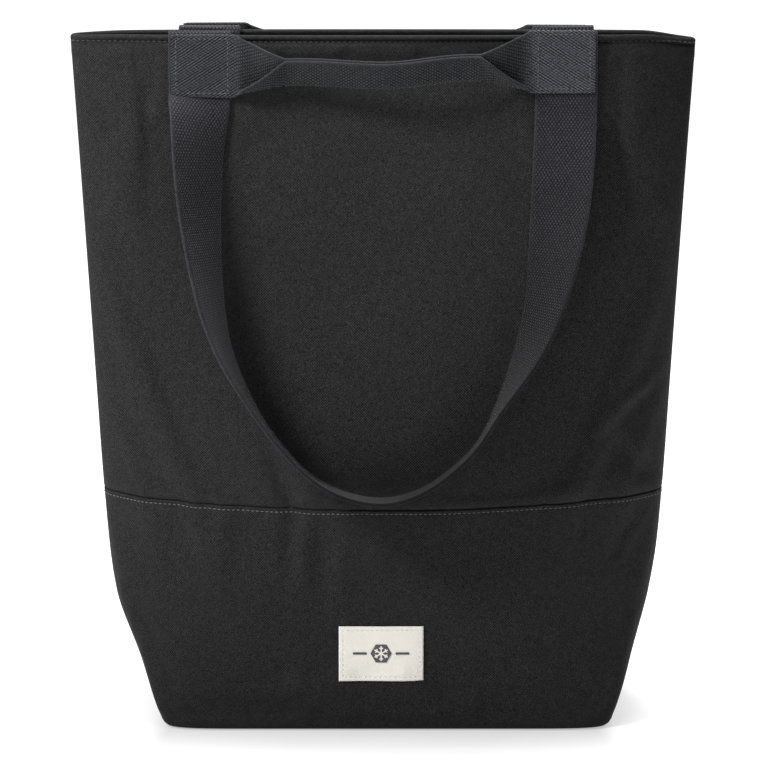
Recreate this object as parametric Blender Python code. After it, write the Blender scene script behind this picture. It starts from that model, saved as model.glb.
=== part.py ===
"""Insulated cooler tote: sewn fabric outside, foam and lining inside, zipped mouth, two long straps, two grips.

Metres, +Z up. The origin is the centre of the base on the ground, and the front faces -Y.
"Outward" is the distance from the bag's middle plane, towards -Y on the front and +Y on the back.
"""

import math

import bmesh
import bpy
import numpy as np
from mathutils import Vector

# Driving dimensions
HEIGHT = 0.430
SEAM_HEIGHT = 0.1406
GAP = 0.0003
FABRIC = 0.0008
FOAM = 0.003
LINING = 0.0006
BOARD = 0.0015
HEM_HEIGHT = 0.0022
WEBBING_WIDTH = 0.038
WEBBING = 0.002
THREAD = 0.0005

# Height, half width, half depth and corner squareness (superellipse power) of the bag's level sections
STATIONS = (
    (0.000, 0.1403, 0.0580, 12.0),
    (0.040, 0.1564, 0.0580, 4.0),
    (0.078, 0.1698, 0.0570, 2.7),
    (0.1375, 0.1759, 0.0540, 2.3),
    (0.210, 0.1798, 0.0455, 2.2),
    (0.303, 0.1847, 0.0340, 2.2),
    (0.430, 0.1915, 0.0175, 2.8),
)

# Layers of the wall, as insets from its outer face
FOAM_INSET = FABRIC + GAP
LINING_INSET = FOAM_INSET + FOAM + GAP
WALL = LINING_INSET + LINING
FLOOR_INSET = LINING_INSET + 2 * GAP

# Heights
BASE_TOP = FABRIC
WALL_FOOT = BASE_TOP + GAP
BOARD_TOP = WALL_FOOT + BOARD
FOAM_FLOOR_TOP = BOARD_TOP + GAP + FOAM
LINING_FLOOR_TOP = FOAM_FLOOR_TOP + GAP + LINING
LAYER_TOP = HEIGHT - HEM_HEIGHT - GAP
LOWER_LEVELS = (0.0085, 0.040, 0.078)
UPPER_LEVELS = (0.180, 0.235, 0.303, 0.368)
SIDE_STEPS = 4
FRONT_STEPS = 12

# Webbing on the rim
STRAP_INNER_X = 0.0925
PATCH_INNER_X = 0.0910
PATCH_FOOT = 0.3925
PATCH_TOP = 0.4315
STRAP_LIFT = 0.0015
PATCH_LIFT = GAP + WEBBING + GAP
STITCH_MARGIN = 0.003
STITCH_WIDTH = 0.0008

# Long strap: x and height of the edge that lies on the bag, and the webbing's twist out of the bag's face
STRAP_ROUTE = (
    (-0.0925, 0.3922, 0),
    (-0.0928, 0.378, 3),
    (-0.0975, 0.352, 24),
    (-0.1015, 0.329, 44),
    (-0.1020, 0.293, 61),
    (-0.0990, 0.263, 72),
    (-0.0940, 0.238, 82),
    (-0.0820, 0.208, 91),
    (-0.0660, 0.183, 95),
    (-0.0450, 0.162, 96),
    (-0.0230, 0.151, 96),
    (0.0010, 0.1475, 96),
    (0.0230, 0.153, 96),
    (0.0420, 0.165, 95),
    (0.0600, 0.183, 94),
    (0.0720, 0.208, 85),
    (0.0820, 0.239, 66),
    (0.0885, 0.269, 49),
    (0.0900, 0.305, 27),
    (0.0910, 0.335, 12),
    (0.0922, 0.378, 2),
    (0.0925, 0.3922, 0),
)
STRAP_STEPS = 40

# Grab handle: half length of the moving grip, its height folded double, and how far its middle bows out
GRIP_HALF = 0.060
GRIP_HEIGHT = 0.0150
GRIP_THICKNESS = 0.0050
GRIP_MIDDLE_Z = 0.4105
GRIP_END_OUT = 0.0330
GRIP_BOW = 0.0090

# Closure
ZIP_Z = 0.416
TAPE_THICKNESS = 0.0006
TAPE_CLEARANCE = 0.0008
FLAP_HALF = 0.134
FLAP_HINGE_OUT = 0.0104
FACING_OUT = 0.0108
TAPE_END_X = 0.172
COIL_NEAR = 0.0007
COIL_FAR = 0.0029
COIL_HEIGHT = 0.0016
COIL_END_X = 0.1512
STOP_END_X = 0.1535
TAPE_SLOT_X = 0.1560
SLIDER_X = 0.145
SLIDER_LENGTH = 0.011
SLIDER_HALF_WIDTH = 0.0044
SLIDER_PLATE = 0.0009
SLIDER_NECK = 0.0008
PIN_Z = 0.4197
PIN_RADIUS = 0.0006
LUG_NEAR = 0.0017
LUG_FAR = 0.0025
PULLER_LENGTH = 0.0245

# Label
LABEL_WIDTH = 0.0526
LABEL_HEIGHT = 0.0343
LABEL_Z = 0.0506
LABEL_THICKNESS = 0.001
EMBLEM_RADIUS = 0.0066

FRONT, BACK = -1, 1
SIDES = {"front": FRONT, "back": BACK}
HANDS = {"left": -1, "right": 1}


def clear_scene():
    for obj in list(bpy.data.objects):
        bpy.data.objects.remove(obj, do_unlink=True)


def finish(name, colour, roughness=0.85, metallic=0.0):
    """A plain Principled material."""
    made = bpy.data.materials.new(name)
    made.use_nodes = True
    shader = made.node_tree.nodes["Principled BSDF"]
    shader.inputs["Base Color"].default_value = (*colour, 1.0)
    shader.inputs["Roughness"].default_value = roughness
    shader.inputs["Metallic"].default_value = metallic
    return made


# ---------------------------------------------------------------- bag section


def section(z):
    """Half width, half depth and squareness at a height, on smooth curves that never overshoot a station."""
    heights = [row[0] for row in STATIONS]
    z = min(max(z, heights[0]), heights[-1])
    k = min(max(np.searchsorted(heights, z) - 1, 0), len(heights) - 2)
    span = heights[k + 1] - heights[k]
    u = (z - heights[k]) / span
    values = []
    for column in (1, 2, 3):
        rise = [
            (STATIONS[i + 1][column] - STATIONS[i][column]) / (heights[i + 1] - heights[i])
            for i in range(len(heights) - 1)
        ]
        slopes = []
        for i in (k, k + 1):
            before, after = rise[max(i - 1, 0)], rise[min(i, len(rise) - 1)]
            same_way = before * after > 0
            slopes.append(2 * before * after / (before + after) if same_way else 0.0)
        low, high = STATIONS[k][column], STATIONS[k + 1][column]
        values.append(
            (2 * u**3 - 3 * u**2 + 1) * low
            + (u**3 - 2 * u**2 + u) * span * slopes[0]
            + (3 * u**2 - 2 * u**3) * high
            + (u**3 - u**2) * span * slopes[1]
        )
    return values


def crowded(steps):
    """Shares of a run from 0 to 1, closer together at both ends."""
    even = np.linspace(0, 1, steps + 1)
    return even - 0.10 * np.sin(math.tau * even)


def half_ring(z, inset=0.0):
    """(x, outward) pairs round one half of the level section, closest at the side seams and the corners."""
    half_width, half_depth, power = section(z)
    spans = (
        (0, 45, crowded(SIDE_STEPS)),
        (45, 135, crowded(FRONT_STEPS)),
        (135, 180, crowded(SIDE_STEPS)),
    )
    points = []
    for start, end, shares in spans:
        angle = np.radians(np.linspace(start, end, 400))
        across = np.sign(np.cos(angle)) * np.abs(np.cos(angle)) ** (2 / power)
        out = np.abs(np.sin(angle)) ** (2 / power)
        leg = np.hypot(np.diff(across) * half_width, np.diff(out) * half_depth)
        run = np.concatenate([[0.0], np.cumsum(leg)])
        places = run[-1] * (shares[1:] if points else shares)
        points += zip(np.interp(places, run, across), np.interp(places, run, out))
    return [
        (x * (half_width - inset), max(out * (half_depth - inset), GAP / 2))
        for x, out in points
    ]


def wall_out(x, z, inset=0.0):
    """Outward distance of the wall at a point of its face."""
    half_width, half_depth, power = section(z)
    across = min(abs(x) / (half_width - inset), 1.0)
    return (half_depth - inset) * (1 - across**power) ** (1 / power)


# ---------------------------------------------------------------- mesh making


def add_object(name, mesh_bm, material):
    bmesh.ops.recalc_face_normals(mesh_bm, faces=mesh_bm.faces)
    mesh = bpy.data.meshes.new(name)
    mesh_bm.to_mesh(mesh)
    mesh_bm.free()
    mesh.materials.append(material)
    obj = bpy.data.objects.new(name, mesh)
    bpy.context.collection.objects.link(obj)
    return obj


def slab(name, near, far, material, ring=False):
    """A closed body between two matching grids of points. With ring, each row runs round and closes on itself."""
    bm = bmesh.new()
    grids = [[[bm.verts.new(p) for p in row] for row in grid] for grid in (near, far)]
    rows, columns = len(near), len(near[0])
    last = columns if ring else columns - 1
    for grid in grids:
        for r in range(rows - 1):
            for c in range(last):
                d = (c + 1) % columns
                bm.faces.new((grid[r][c], grid[r][d], grid[r + 1][d], grid[r + 1][c]))
    first, second = grids
    for r in (0, rows - 1):
        for c in range(last):
            d = (c + 1) % columns
            bm.faces.new((first[r][c], first[r][d], second[r][d], second[r][c]))
    if not ring:
        for c in (0, columns - 1):
            for r in range(rows - 1):
                bm.faces.new((first[r][c], first[r + 1][c], second[r + 1][c], second[r][c]))
    return add_object(name, bm, material)


def prism(name, outline, offset, material):
    """An outline of points extruded by an offset."""
    bm = bmesh.new()
    face = bm.faces.new([bm.verts.new(p) for p in outline])
    raised = bmesh.ops.extrude_face_region(bm, geom=[face])["geom"]
    moved = [v for v in raised if isinstance(v, bmesh.types.BMVert)]
    bmesh.ops.translate(bm, verts=moved, vec=offset)
    return add_object(name, bm, material)


def join(base, *others):
    """Unions the other objects into the first."""
    for other in others:
        union = base.modifiers.new("union", "BOOLEAN")
        union.operation = "UNION"
        union.object = other
        other.hide_render = True
        other.display_type = "WIRE"
    return base


def wall_layer(name, side, levels, inset, thickness, material):
    """One layer of the front or back wall between the two side seams."""
    grids = [
        [[(x, side * out, z) for x, out in half_ring(z, depth)] for z in levels]
        for depth in (inset, inset + thickness)
    ]
    return slab(name, *grids, material)


def floor_layer(name, low, high, inset, material):
    """A level sheet that fills the section, its edge inset from the wall's outer face."""
    bm = bmesh.new()
    rings = []
    for z in (low, high):
        half = half_ring(z, inset)
        outline = [(x, -out, z) for x, out in half] + [(x, out, z) for x, out in reversed(half)]
        rings.append([bm.verts.new(p) for p in outline])
        bm.faces.new(rings[-1])
    lower, upper = rings
    for k in range(len(lower)):
        bm.faces.new((lower[k - 1], lower[k], upper[k], upper[k - 1]))
    return add_object(name, bm, material)


def on_wall(name, side, columns, rows, lift, thickness, material):
    """A sheet that follows the wall's face, from columns of x and rows of z."""
    grids = [
        [[(x, side * (wall_out(x, z) + off), z) for x in columns] for z in rows]
        for off in (lift, lift + thickness)
    ]
    return slab(name, *grids, material)


def spread(low, high, count):
    return [low + (high - low) * i / (count - 1) for i in range(count)]


# ---------------------------------------------------------------- bag body


def make_walls(fabric, foam, lining, hem):
    lower = (WALL_FOOT, *LOWER_LEVELS, SEAM_HEIGHT - GAP / 2)
    upper = (SEAM_HEIGHT + GAP / 2, *UPPER_LEVELS, LAYER_TOP)
    whole = (WALL_FOOT, *LOWER_LEVELS, SEAM_HEIGHT, *UPPER_LEVELS, LAYER_TOP)
    lined = (LOWER_LEVELS[0], *whole[2:])
    rim = (LAYER_TOP + GAP, HEIGHT)
    for word, side in SIDES.items():
        wall_layer(f"outer_{word}_lower", side, lower, 0, FABRIC, fabric)
        wall_layer(f"outer_{word}_upper", side, upper, 0, FABRIC, fabric)
        wall_layer(f"foam_{word}", side, whole, FOAM_INSET, FOAM, foam)
        wall_layer(f"lining_{word}", side, lined, LINING_INSET, LINING, lining)
        wall_layer(f"rim_hem_{word}", side, rim, 0, WALL, hem)


def make_floor(fabric, board, foam, lining):
    floor_layer("outer_base", 0, BASE_TOP, 0, fabric)
    floor_layer("base_board", WALL_FOOT, BOARD_TOP, FLOOR_INSET, board)
    floor_layer("foam_base", BOARD_TOP + GAP, FOAM_FLOOR_TOP, FLOOR_INSET, foam)
    floor_layer("lining_base", FOAM_FLOOR_TOP + GAP, LINING_FLOOR_TOP, FLOOR_INSET, lining)


def make_side_bindings(tape):
    """The tape over each side seam, inside the lining."""
    half_width, clearance, thickness = 0.0025, 0.0018, 0.001
    levels = (0.010, *LOWER_LEVELS[1:], SEAM_HEIGHT, *UPPER_LEVELS, 0.405)
    for word, hand in HANDS.items():
        grids = []
        for depth in (clearance, clearance + thickness):
            faces = [hand * (section(z)[0] - WALL - depth) for z in levels]
            grids.append([[(x, y, z) for y in (-half_width, half_width)] for x, z in zip(faces, levels)])
        slab(f"side_binding_{word}", *grids, tape)


def make_topstitching(thread):
    """The raised rows of stitches below the panel seam and, between the patches, under the rim hem."""
    rows = {"seam": (0.1381, 0.150), "rim": (0.4240, PATCH_INNER_X - 0.0025)}
    for word, side in SIDES.items():
        for place, (z, half_length) in rows.items():
            columns = spread(-half_length, half_length, 21)
            on_wall(f"{place}_topstitch_{word}", side, columns, (z, z + STITCH_WIDTH), 2 * GAP, THREAD, thread)


def make_label(cloth, ink):
    low, high = LABEL_Z - LABEL_HEIGHT / 2, LABEL_Z + LABEL_HEIGHT / 2
    columns = spread(-LABEL_WIDTH / 2, LABEL_WIDTH / 2, 3)
    on_wall("label", FRONT, columns, (low, LABEL_Z, high), GAP, LABEL_THICKNESS, cloth)
    face = wall_out(0, LABEL_Z) + GAP + LABEL_THICKNESS + GAP
    turns = [math.tau * k / 6 for k in range(6)]
    hexagon = [
        (EMBLEM_RADIUS * math.cos(turn), -face, LABEL_Z + EMBLEM_RADIUS * math.sin(turn)) for turn in turns
    ]
    prism("label_emblem", hexagon, (0, -THREAD, 0), ink)


# ---------------------------------------------------------------- straps and grips


def make_anchors(webbing):
    """The sewn ends of the long straps: up the wall behind the patches, over the rim and tucked in."""
    inner_foot = HEIGHT - 0.0035
    over = HEIGHT + GAP
    for word, side in SIDES.items():
        for hand_word, hand in HANDS.items():
            inside, outside = [], []
            for x in spread(STRAP_INNER_X, STRAP_INNER_X + WEBBING_WIDTH, 4):
                out_face = [wall_out(x, z) + GAP for z in (PATCH_FOOT + GAP, 0.411, over)]
                in_face = wall_out(x, HEIGHT, WALL) - GAP
                near = [
                    (out_face[0], PATCH_FOOT + GAP), (out_face[1], 0.411), (out_face[2], over),
                    (in_face, over), (in_face, inner_foot),
                ]
                far = [
                    (out_face[0] + WEBBING, PATCH_FOOT + GAP), (out_face[1] + WEBBING, 0.411),
                    (out_face[2] + WEBBING, over + WEBBING), (in_face - WEBBING, over + WEBBING),
                    (in_face - WEBBING, inner_foot),
                ]
                inside.append([(hand * x, side * out, z) for out, z in near])
                outside.append([(hand * x, side * out, z) for out, z in far])
            slab(f"strap_anchor_{word}_{hand_word}", inside, outside, webbing)


def make_patches(webbing, thread):
    """The flat ends of the grab handles, which flare in to the folded grip, and their box stitches."""
    middle, half = (PATCH_FOOT + PATCH_TOP) / 2, (PATCH_TOP - PATCH_FOOT) / 2
    outer_x = PATCH_INNER_X + WEBBING_WIDTH
    flare = ((0.083, 0.85, 0.35), (0.074, 0.62, 0.70), (0.066, 0.47, 0.93), (GRIP_HALF + GAP, 0.40, 1.0))
    for word, side in SIDES.items():
        for hand_word, hand in HANDS.items():
            near, far = [], []
            for x in spread(outer_x, PATCH_INNER_X, 4):
                heights = (PATCH_FOOT, middle, PATCH_TOP)
                low = [(hand * x, side * (wall_out(x, z) + PATCH_LIFT), z) for z in heights]
                near.append(low)
                far.append([(a, b + side * WEBBING, c) for a, b, c in low])
            start = wall_out(PATCH_INNER_X, middle) + PATCH_LIFT
            for x, tall, along in flare:
                out = start + (GRIP_END_OUT - GRIP_THICKNESS / 2 - start) * along
                thick = WEBBING + (GRIP_THICKNESS - WEBBING) * along
                z_middle = middle + (GRIP_MIDDLE_Z - middle) * along
                heights = (z_middle - half * tall, z_middle, z_middle + half * tall)
                near.append([(hand * x, side * out, z) for z in heights])
                far.append([(hand * x, side * (out + thick), z) for z in heights])
            slab(f"handle_patch_{word}_{hand_word}", near, far, webbing)
            box = ((outer_x, PATCH_INNER_X), (PATCH_FOOT, PATCH_TOP))
            make_box_stitch(f"patch_stitch_{word}_{hand_word}", side, hand, box, thread)


def make_box_stitch(name, side, hand, box, thread):
    """A square of raised stitches inside the edges of a patch."""
    (right, left), (low, high) = box
    lift = PATCH_LIFT + WEBBING + GAP
    rings = []
    for off in (lift, lift + THREAD):
        ring = []
        for margin in (STITCH_MARGIN, STITCH_MARGIN + STITCH_WIDTH):
            xs, zs = (left + margin, right - margin), (low + margin, high - margin)
            middle = (xs[0] + xs[1]) / 2
            corners = (
                (xs[0], zs[0]), (middle, zs[0]), (xs[1], zs[0]), (xs[1], zs[1]), (middle, zs[1]), (xs[0], zs[1]),
            )
            ring.append([(hand * x, side * (wall_out(x, z) + off), z) for x, z in corners])
        rings.append(ring)
    slab(name, *rings, thread, ring=True)


def smooth_route(route, steps):
    """Points at even distances on a Catmull-Rom curve through a route of rows of numbers."""
    rows = [np.array(row, float) for row in route]
    rows = [2 * rows[0] - rows[1], *rows, 2 * rows[-1] - rows[-2]]
    fine = []
    for a, b, c, d in zip(rows, rows[1:], rows[2:], rows[3:]):
        for t in np.linspace(0, 1, 20, endpoint=False):
            fine.append(0.5 * (2 * b + (c - a) * t + (2 * a - 5 * b + 4 * c - d) * t**2 + (3 * b - a - 3 * c + d) * t**3))
    fine.append(rows[-2])
    fine = np.array(fine)
    run = np.concatenate([[0.0], np.cumsum(np.hypot(np.diff(fine[:, 0]), np.diff(fine[:, 1])))])
    even = np.linspace(0, run[-1], steps + 1)
    return np.column_stack([np.interp(even, run, column) for column in fine.T])


def make_strap(name, side, webbing):
    """One long strap from patch to patch: flat against the bag at its ends, on edge round the foot of its loop."""
    samples = smooth_route(STRAP_ROUTE, STRAP_STEPS)
    edge = []
    for i, (x, z, _) in enumerate(samples):
        ends = min(i, len(samples) - 1 - i) / 6
        lift = GAP + (STRAP_LIFT - GAP) * min(ends, 1.0)
        edge.append(Vector((x, -(wall_out(x, z) + lift), z)))
    near, far = [], []
    for i, point in enumerate(edge):
        along = (edge[min(i + 1, len(edge) - 1)] - edge[max(i - 1, 0)]).normalized()
        if i in (0, len(edge) - 1):
            along = Vector((0, 0, 1 if i else -1))
        out = Vector((0, -1, 0))
        out = (out - along * out.dot(along)).normalized()
        away = along.cross(out).normalized()
        twist = math.radians(samples[i][2])
        across = away * math.cos(twist) + out * math.sin(twist)
        normal = across.cross(along).normalized()
        back = [point, point + across * WEBBING_WIDTH]
        if samples[i][2] < 4:
            outer = back[1]
            back[1] = Vector((outer.x, -(wall_out(outer.x, outer.z) + GAP), outer.z))
        near.append(back)
        far.append([p + normal * WEBBING for p in back])
    turn = 1 if side == FRONT else -1
    grids = [[[(p.x * turn, p.y * turn, p.z) for p in row] for row in grid] for grid in (near, far)]
    return slab(name, *grids, webbing)


def make_grip(name, side, webbing):
    """The folded middle of a grab handle, bowed out from the bag."""
    near, far = [], []
    for x in spread(-GRIP_HALF, GRIP_HALF, 9):
        out = GRIP_END_OUT + GRIP_BOW * math.cos(math.pi / 2 * x / GRIP_HALF)
        heights = spread(GRIP_MIDDLE_Z - GRIP_HEIGHT / 2, GRIP_MIDDLE_Z + GRIP_HEIGHT / 2, 2)
        near.append([(x, side * (out - GRIP_THICKNESS / 2), z) for z in heights])
        far.append([(x, side * (out + GRIP_THICKNESS / 2), z) for z in heights])
    return slab(name, near, far, webbing)


# ---------------------------------------------------------------- closure


def make_zip_tapes(tape, coil):
    low = ZIP_Z - TAPE_THICKNESS / 2
    for word, side in SIDES.items():
        flap = [(-FLAP_HALF, FLAP_HINGE_OUT), (FLAP_HALF, FLAP_HINGE_OUT)]
        flap += [(FLAP_HALF, COIL_FAR + GAP), (-FLAP_HALF, COIL_FAR + GAP)]
        prism(f"zip_tape_{word}", [(x, side * y, low) for x, y in flap], (0, 0, TAPE_THICKNESS), tape)
        bar = [(-FLAP_HALF, COIL_NEAR), (FLAP_HALF, COIL_NEAR), (FLAP_HALF, COIL_FAR), (-FLAP_HALF, COIL_FAR)]
        bottom = ZIP_Z - COIL_HEIGHT / 2
        prism(f"zip_coil_{word}", [(x, side * y, bottom) for x, y in bar], (0, 0, COIL_HEIGHT), coil)
        edge = [(x, wall_out(x, low, WALL) - TAPE_CLEARANCE) for x in spread(-FLAP_HALF, FLAP_HALF, 9)]
        facing = [(FLAP_HALF, FACING_OUT), (-FLAP_HALF, FACING_OUT), *edge]
        prism(f"zip_facing_{word}", [(x, side * y, low) for x, y in facing], (0, 0, TAPE_THICKNESS), tape)


def make_zip_ends(tape, coil):
    """The closed ends of the zip: tape sewn down on both sides, and the coil's last teeth with their stop."""
    start = FLAP_HALF + GAP
    low, bottom = ZIP_Z - TAPE_THICKNESS / 2, ZIP_Z - COIL_HEIGHT / 2
    for word, hand in HANDS.items():
        edge = [(x, wall_out(x, low, WALL) - TAPE_CLEARANCE) for x in spread(start, TAPE_END_X, 4)]
        slot = COIL_FAR + GAP
        outline = [(start, -slot), *((x, -y) for x, y in edge), *reversed(edge)]
        outline += [(start, slot), (TAPE_SLOT_X, slot), (TAPE_SLOT_X, -slot)]
        prism(f"zip_end_{word}", [(hand * x, y, low) for x, y in outline], (0, 0, TAPE_THICKNESS), tape)
        teeth = [
            (start, COIL_FAR), (STOP_END_X, COIL_FAR), (STOP_END_X, -COIL_FAR), (start, -COIL_FAR),
            (start, -COIL_NEAR), (COIL_END_X, -COIL_NEAR), (COIL_END_X, COIL_NEAR), (start, COIL_NEAR),
        ]
        prism(f"zip_stop_{word}", [(hand * x, y, bottom) for x, y in teeth], (0, 0, COIL_HEIGHT), coil)


def make_slider(metal):
    """Two plates joined by a neck that runs between the coils, with two lugs and a pin for the puller."""
    inside = COIL_HEIGHT / 2 + GAP
    plate = inside + SLIDER_PLATE
    width, neck = SLIDER_HALF_WIDTH, SLIDER_NECK / 2
    quarter = [(neck, inside), (width, inside), (width, plate)]
    top = quarter + [(-y, z) for y, z in reversed(quarter)]
    outline = top + [(-y, -z) for y, z in top]
    start = SLIDER_X - SLIDER_LENGTH / 2
    points = [(start, y, ZIP_Z + z) for y, z in outline]
    slider = prism("zip_slider", points, (SLIDER_LENGTH, 0, 0), metal)
    lugs = []
    foot, crown, reach = ZIP_Z + plate - GAP, PIN_Z + 2 * PIN_RADIUS, 0.0022
    for side in SIDES.values():
        cheek = [
            (SLIDER_X - reach, foot), (SLIDER_X + reach, foot),
            (SLIDER_X + reach / 2, crown), (SLIDER_X - reach / 2, crown),
        ]
        points = [(x, side * LUG_NEAR, z) for x, z in cheek]
        lugs.append(prism(f"lug_{side}", points, (0, side * (LUG_FAR - LUG_NEAR), 0), metal))
    angles = [math.tau * i / 10 for i in range(10)]
    circle = [(SLIDER_X + PIN_RADIUS * math.cos(a), PIN_Z + PIN_RADIUS * math.sin(a)) for a in angles]
    reach = (LUG_NEAR + LUG_FAR) / 2
    pin = prism("pin", [(x, -reach, z) for x, z in circle], (0, 2 * reach, 0), metal)
    join(slider, *lugs, pin)


def make_puller(metal):
    """A flat tab with an eye round the slider's pin, lying towards the end of the zip."""
    thickness, eye, hole = 0.0012, 0.0015, 0.0009
    neck, wide = LUG_NEAR - GAP, 0.0032
    bottom = PIN_Z - thickness / 2
    shoulder = SLIDER_X + 0.0040
    tip = SLIDER_X + PULLER_LENGTH
    half = [(SLIDER_X, neck), (shoulder, neck), (shoulder + 0.002, wide), (tip - 0.002, wide), (tip, wide - 0.0015)]
    outline = half + [(x, -y) for x, y in reversed(half)]
    tab = prism("zip_puller", [(x, y, bottom) for x, y in outline], (0, 0, thickness), metal)
    angles = [math.tau * i / 12 for i in range(12)]
    round_end = [(SLIDER_X + eye * math.cos(a), -neck, PIN_Z + eye * math.sin(a)) for a in angles]
    boss = prism("eye", round_end, (0, 2 * neck, 0), metal)
    bore = prism("bore", [(SLIDER_X + hole * math.cos(a), -0.004, PIN_Z + hole * math.sin(a)) for a in angles],
                 (0, 0.008, 0), metal)
    join(tab, boss)
    cut = tab.modifiers.new("bore", "BOOLEAN")
    cut.operation = "DIFFERENCE"
    cut.object = bore
    bore.hide_render = True
    bore.display_type = "WIRE"


def main():
    clear_scene()
    fabric = finish("outer_fabric", (0.022, 0.022, 0.023))
    hem = finish("hem_fabric", (0.020, 0.020, 0.021))
    foam = finish("foam", (0.80, 0.80, 0.78))
    lining = finish("lining", (0.52, 0.54, 0.56), 0.35)
    board = finish("board", (0.10, 0.10, 0.10), 0.6)
    tape = finish("tape", (0.018, 0.018, 0.019))
    coil = finish("coil", (0.020, 0.020, 0.021), 0.45)
    webbing = finish("webbing", (0.030, 0.032, 0.036))
    thread = finish("thread", (0.060, 0.062, 0.066))
    cloth = finish("label_cloth", (0.80, 0.78, 0.72))
    ink = finish("emblem", (0.085, 0.085, 0.092))
    metal = finish("zip_metal", (0.050, 0.050, 0.052), 0.35, 0.9)
    make_walls(fabric, foam, lining, hem)
    make_floor(fabric, board, foam, lining)
    make_side_bindings(tape)
    make_topstitching(thread)
    make_label(cloth, ink)
    make_anchors(webbing)
    make_patches(webbing, thread)
    for word, side in SIDES.items():
        make_strap(f"strap_{word}", side, webbing)
        make_grip(f"grip_{word}", side, webbing)
    make_zip_tapes(tape, coil)
    make_zip_ends(tape, coil)
    make_slider(metal)
    make_puller(metal)


main()
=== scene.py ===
"""Looks of the insulated cooler tote: woven shell, webbing straps, folded grips, zip, label and stitching.

Metres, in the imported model's frame: +Z up, origin on the ground under the bag's middle, front towards -Y.
"Outward" is the distance from the bag's middle plane, towards -Y on the front and +Y on the back.
"""

import math

import bpy
import numpy as np
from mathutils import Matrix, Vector


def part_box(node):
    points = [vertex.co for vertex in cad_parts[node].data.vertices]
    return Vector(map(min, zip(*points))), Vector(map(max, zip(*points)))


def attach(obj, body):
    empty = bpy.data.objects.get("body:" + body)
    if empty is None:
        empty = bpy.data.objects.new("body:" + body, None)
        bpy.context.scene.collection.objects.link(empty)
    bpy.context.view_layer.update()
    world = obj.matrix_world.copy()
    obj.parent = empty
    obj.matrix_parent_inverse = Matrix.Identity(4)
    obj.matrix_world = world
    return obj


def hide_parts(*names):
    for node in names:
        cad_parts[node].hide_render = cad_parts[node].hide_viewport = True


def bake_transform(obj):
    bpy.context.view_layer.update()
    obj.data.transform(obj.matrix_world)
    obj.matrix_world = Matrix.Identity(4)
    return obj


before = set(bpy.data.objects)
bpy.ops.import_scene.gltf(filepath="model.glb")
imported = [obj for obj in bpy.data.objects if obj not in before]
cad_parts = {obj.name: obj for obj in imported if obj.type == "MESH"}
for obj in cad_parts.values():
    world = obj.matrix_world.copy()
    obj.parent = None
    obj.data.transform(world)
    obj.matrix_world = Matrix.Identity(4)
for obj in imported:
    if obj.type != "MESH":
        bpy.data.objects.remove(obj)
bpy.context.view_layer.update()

# -------- dimensions

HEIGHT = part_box("rim_hem_front")[1].z
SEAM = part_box("outer_front_upper")[0].z
FLOOR_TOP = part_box("lining_base")[1].z
WALL = 0.005
WEB_WIDTH = 0.038
WEB = 0.002

# Height, half width, half depth and corner squareness of the bag's level sections
STATIONS = np.array([
    (0.000, 0.1403, 0.0580, 12.0),
    (0.040, 0.1564, 0.0580, 4.0),
    (0.078, 0.1698, 0.0570, 2.7),
    (0.1375, 0.1759, 0.0540, 2.3),
    (0.210, 0.1798, 0.0455, 2.2),
    (0.303, 0.1847, 0.0340, 2.2),
    (0.430, 0.1915, 0.0175, 2.8),
])

SIDES = {"front": -1, "back": 1}
HANDS = {"left": -1, "right": 1}


def smooth(t):
    t = np.clip(t, 0, 1)
    return t * t * (3 - 2 * t)


def mix(a, b, t):
    return a + (b - a) * t


def bell(distance, width):
    """1 at no distance, falling away smoothly over about a width."""
    return np.exp(-((distance / width) ** 2))


def run_along(points):
    """Distance along a line of points, at each of them."""
    return np.concatenate([[0.0], np.cumsum(np.linalg.norm(np.diff(points, axis=0), axis=1))])


# -------- bag section


def section(z):
    """Half width, half depth and squareness at a height, on smooth curves that never overshoot a station."""
    heights = STATIONS[:, 0]
    z = min(max(z, 0.0), heights[-1])
    k = int(np.clip(np.searchsorted(heights, z) - 1, 0, len(heights) - 2))
    span = heights[k + 1] - heights[k]
    u = (z - heights[k]) / span
    rises = np.diff(STATIONS[:, 1:], axis=0) / np.diff(heights)[:, None]
    slopes = []
    for i in (k, k + 1):
        before, after = rises[max(i - 1, 0)], rises[min(i, len(rises) - 1)]
        total = np.where(np.abs(before + after) < 1e-12, 1.0, before + after)
        slopes.append(np.where(before * after > 0, 2 * before * after / total, 0.0))
    return (
        (2 * u**3 - 3 * u**2 + 1) * STATIONS[k, 1:]
        + (u**3 - 2 * u**2 + u) * span * slopes[0]
        + (3 * u**2 - 2 * u**3) * STATIONS[k + 1, 1:]
        + (u**3 - u**2) * span * slopes[1]
    )


def half_ring(z, side_steps, front_steps, inset=0.0):
    """(x, outward) rows round one half of the level section, with a point on each corner."""
    half_width, half_depth, power = section(z)
    points = []
    for start, end, steps in ((0, 45, side_steps), (45, 135, front_steps), (135, 180, side_steps)):
        angle = np.radians(np.linspace(start, end, 500))
        across = np.sign(np.cos(angle)) * np.abs(np.cos(angle)) ** (2 / power)
        out = np.abs(np.sin(angle)) ** (2 / power)
        leg = np.hypot(np.diff(across) * half_width, np.diff(out) * half_depth)
        run = np.concatenate([[0.0], np.cumsum(leg)])
        even = np.linspace(0, 1, steps + 1)
        places = run[-1] * (even - 0.05 * np.sin(math.tau * even))
        if points:
            places = places[1:]
        points.append(np.column_stack([np.interp(places, run, across), np.interp(places, run, out)]))
    ring = np.concatenate(points)
    ring[np.abs(ring[:, 1]) < 1e-9, 1] = 0
    return ring * (half_width - inset, half_depth - inset)


def wall_out(x, z, inset=0.0):
    """Outward distance of the wall at a point of its face."""
    half_width, half_depth, power = section(z)
    across = min(abs(x) / (half_width - inset), 1.0)
    return (half_depth - inset) * (1 - across**power) ** (1 / power)


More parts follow.
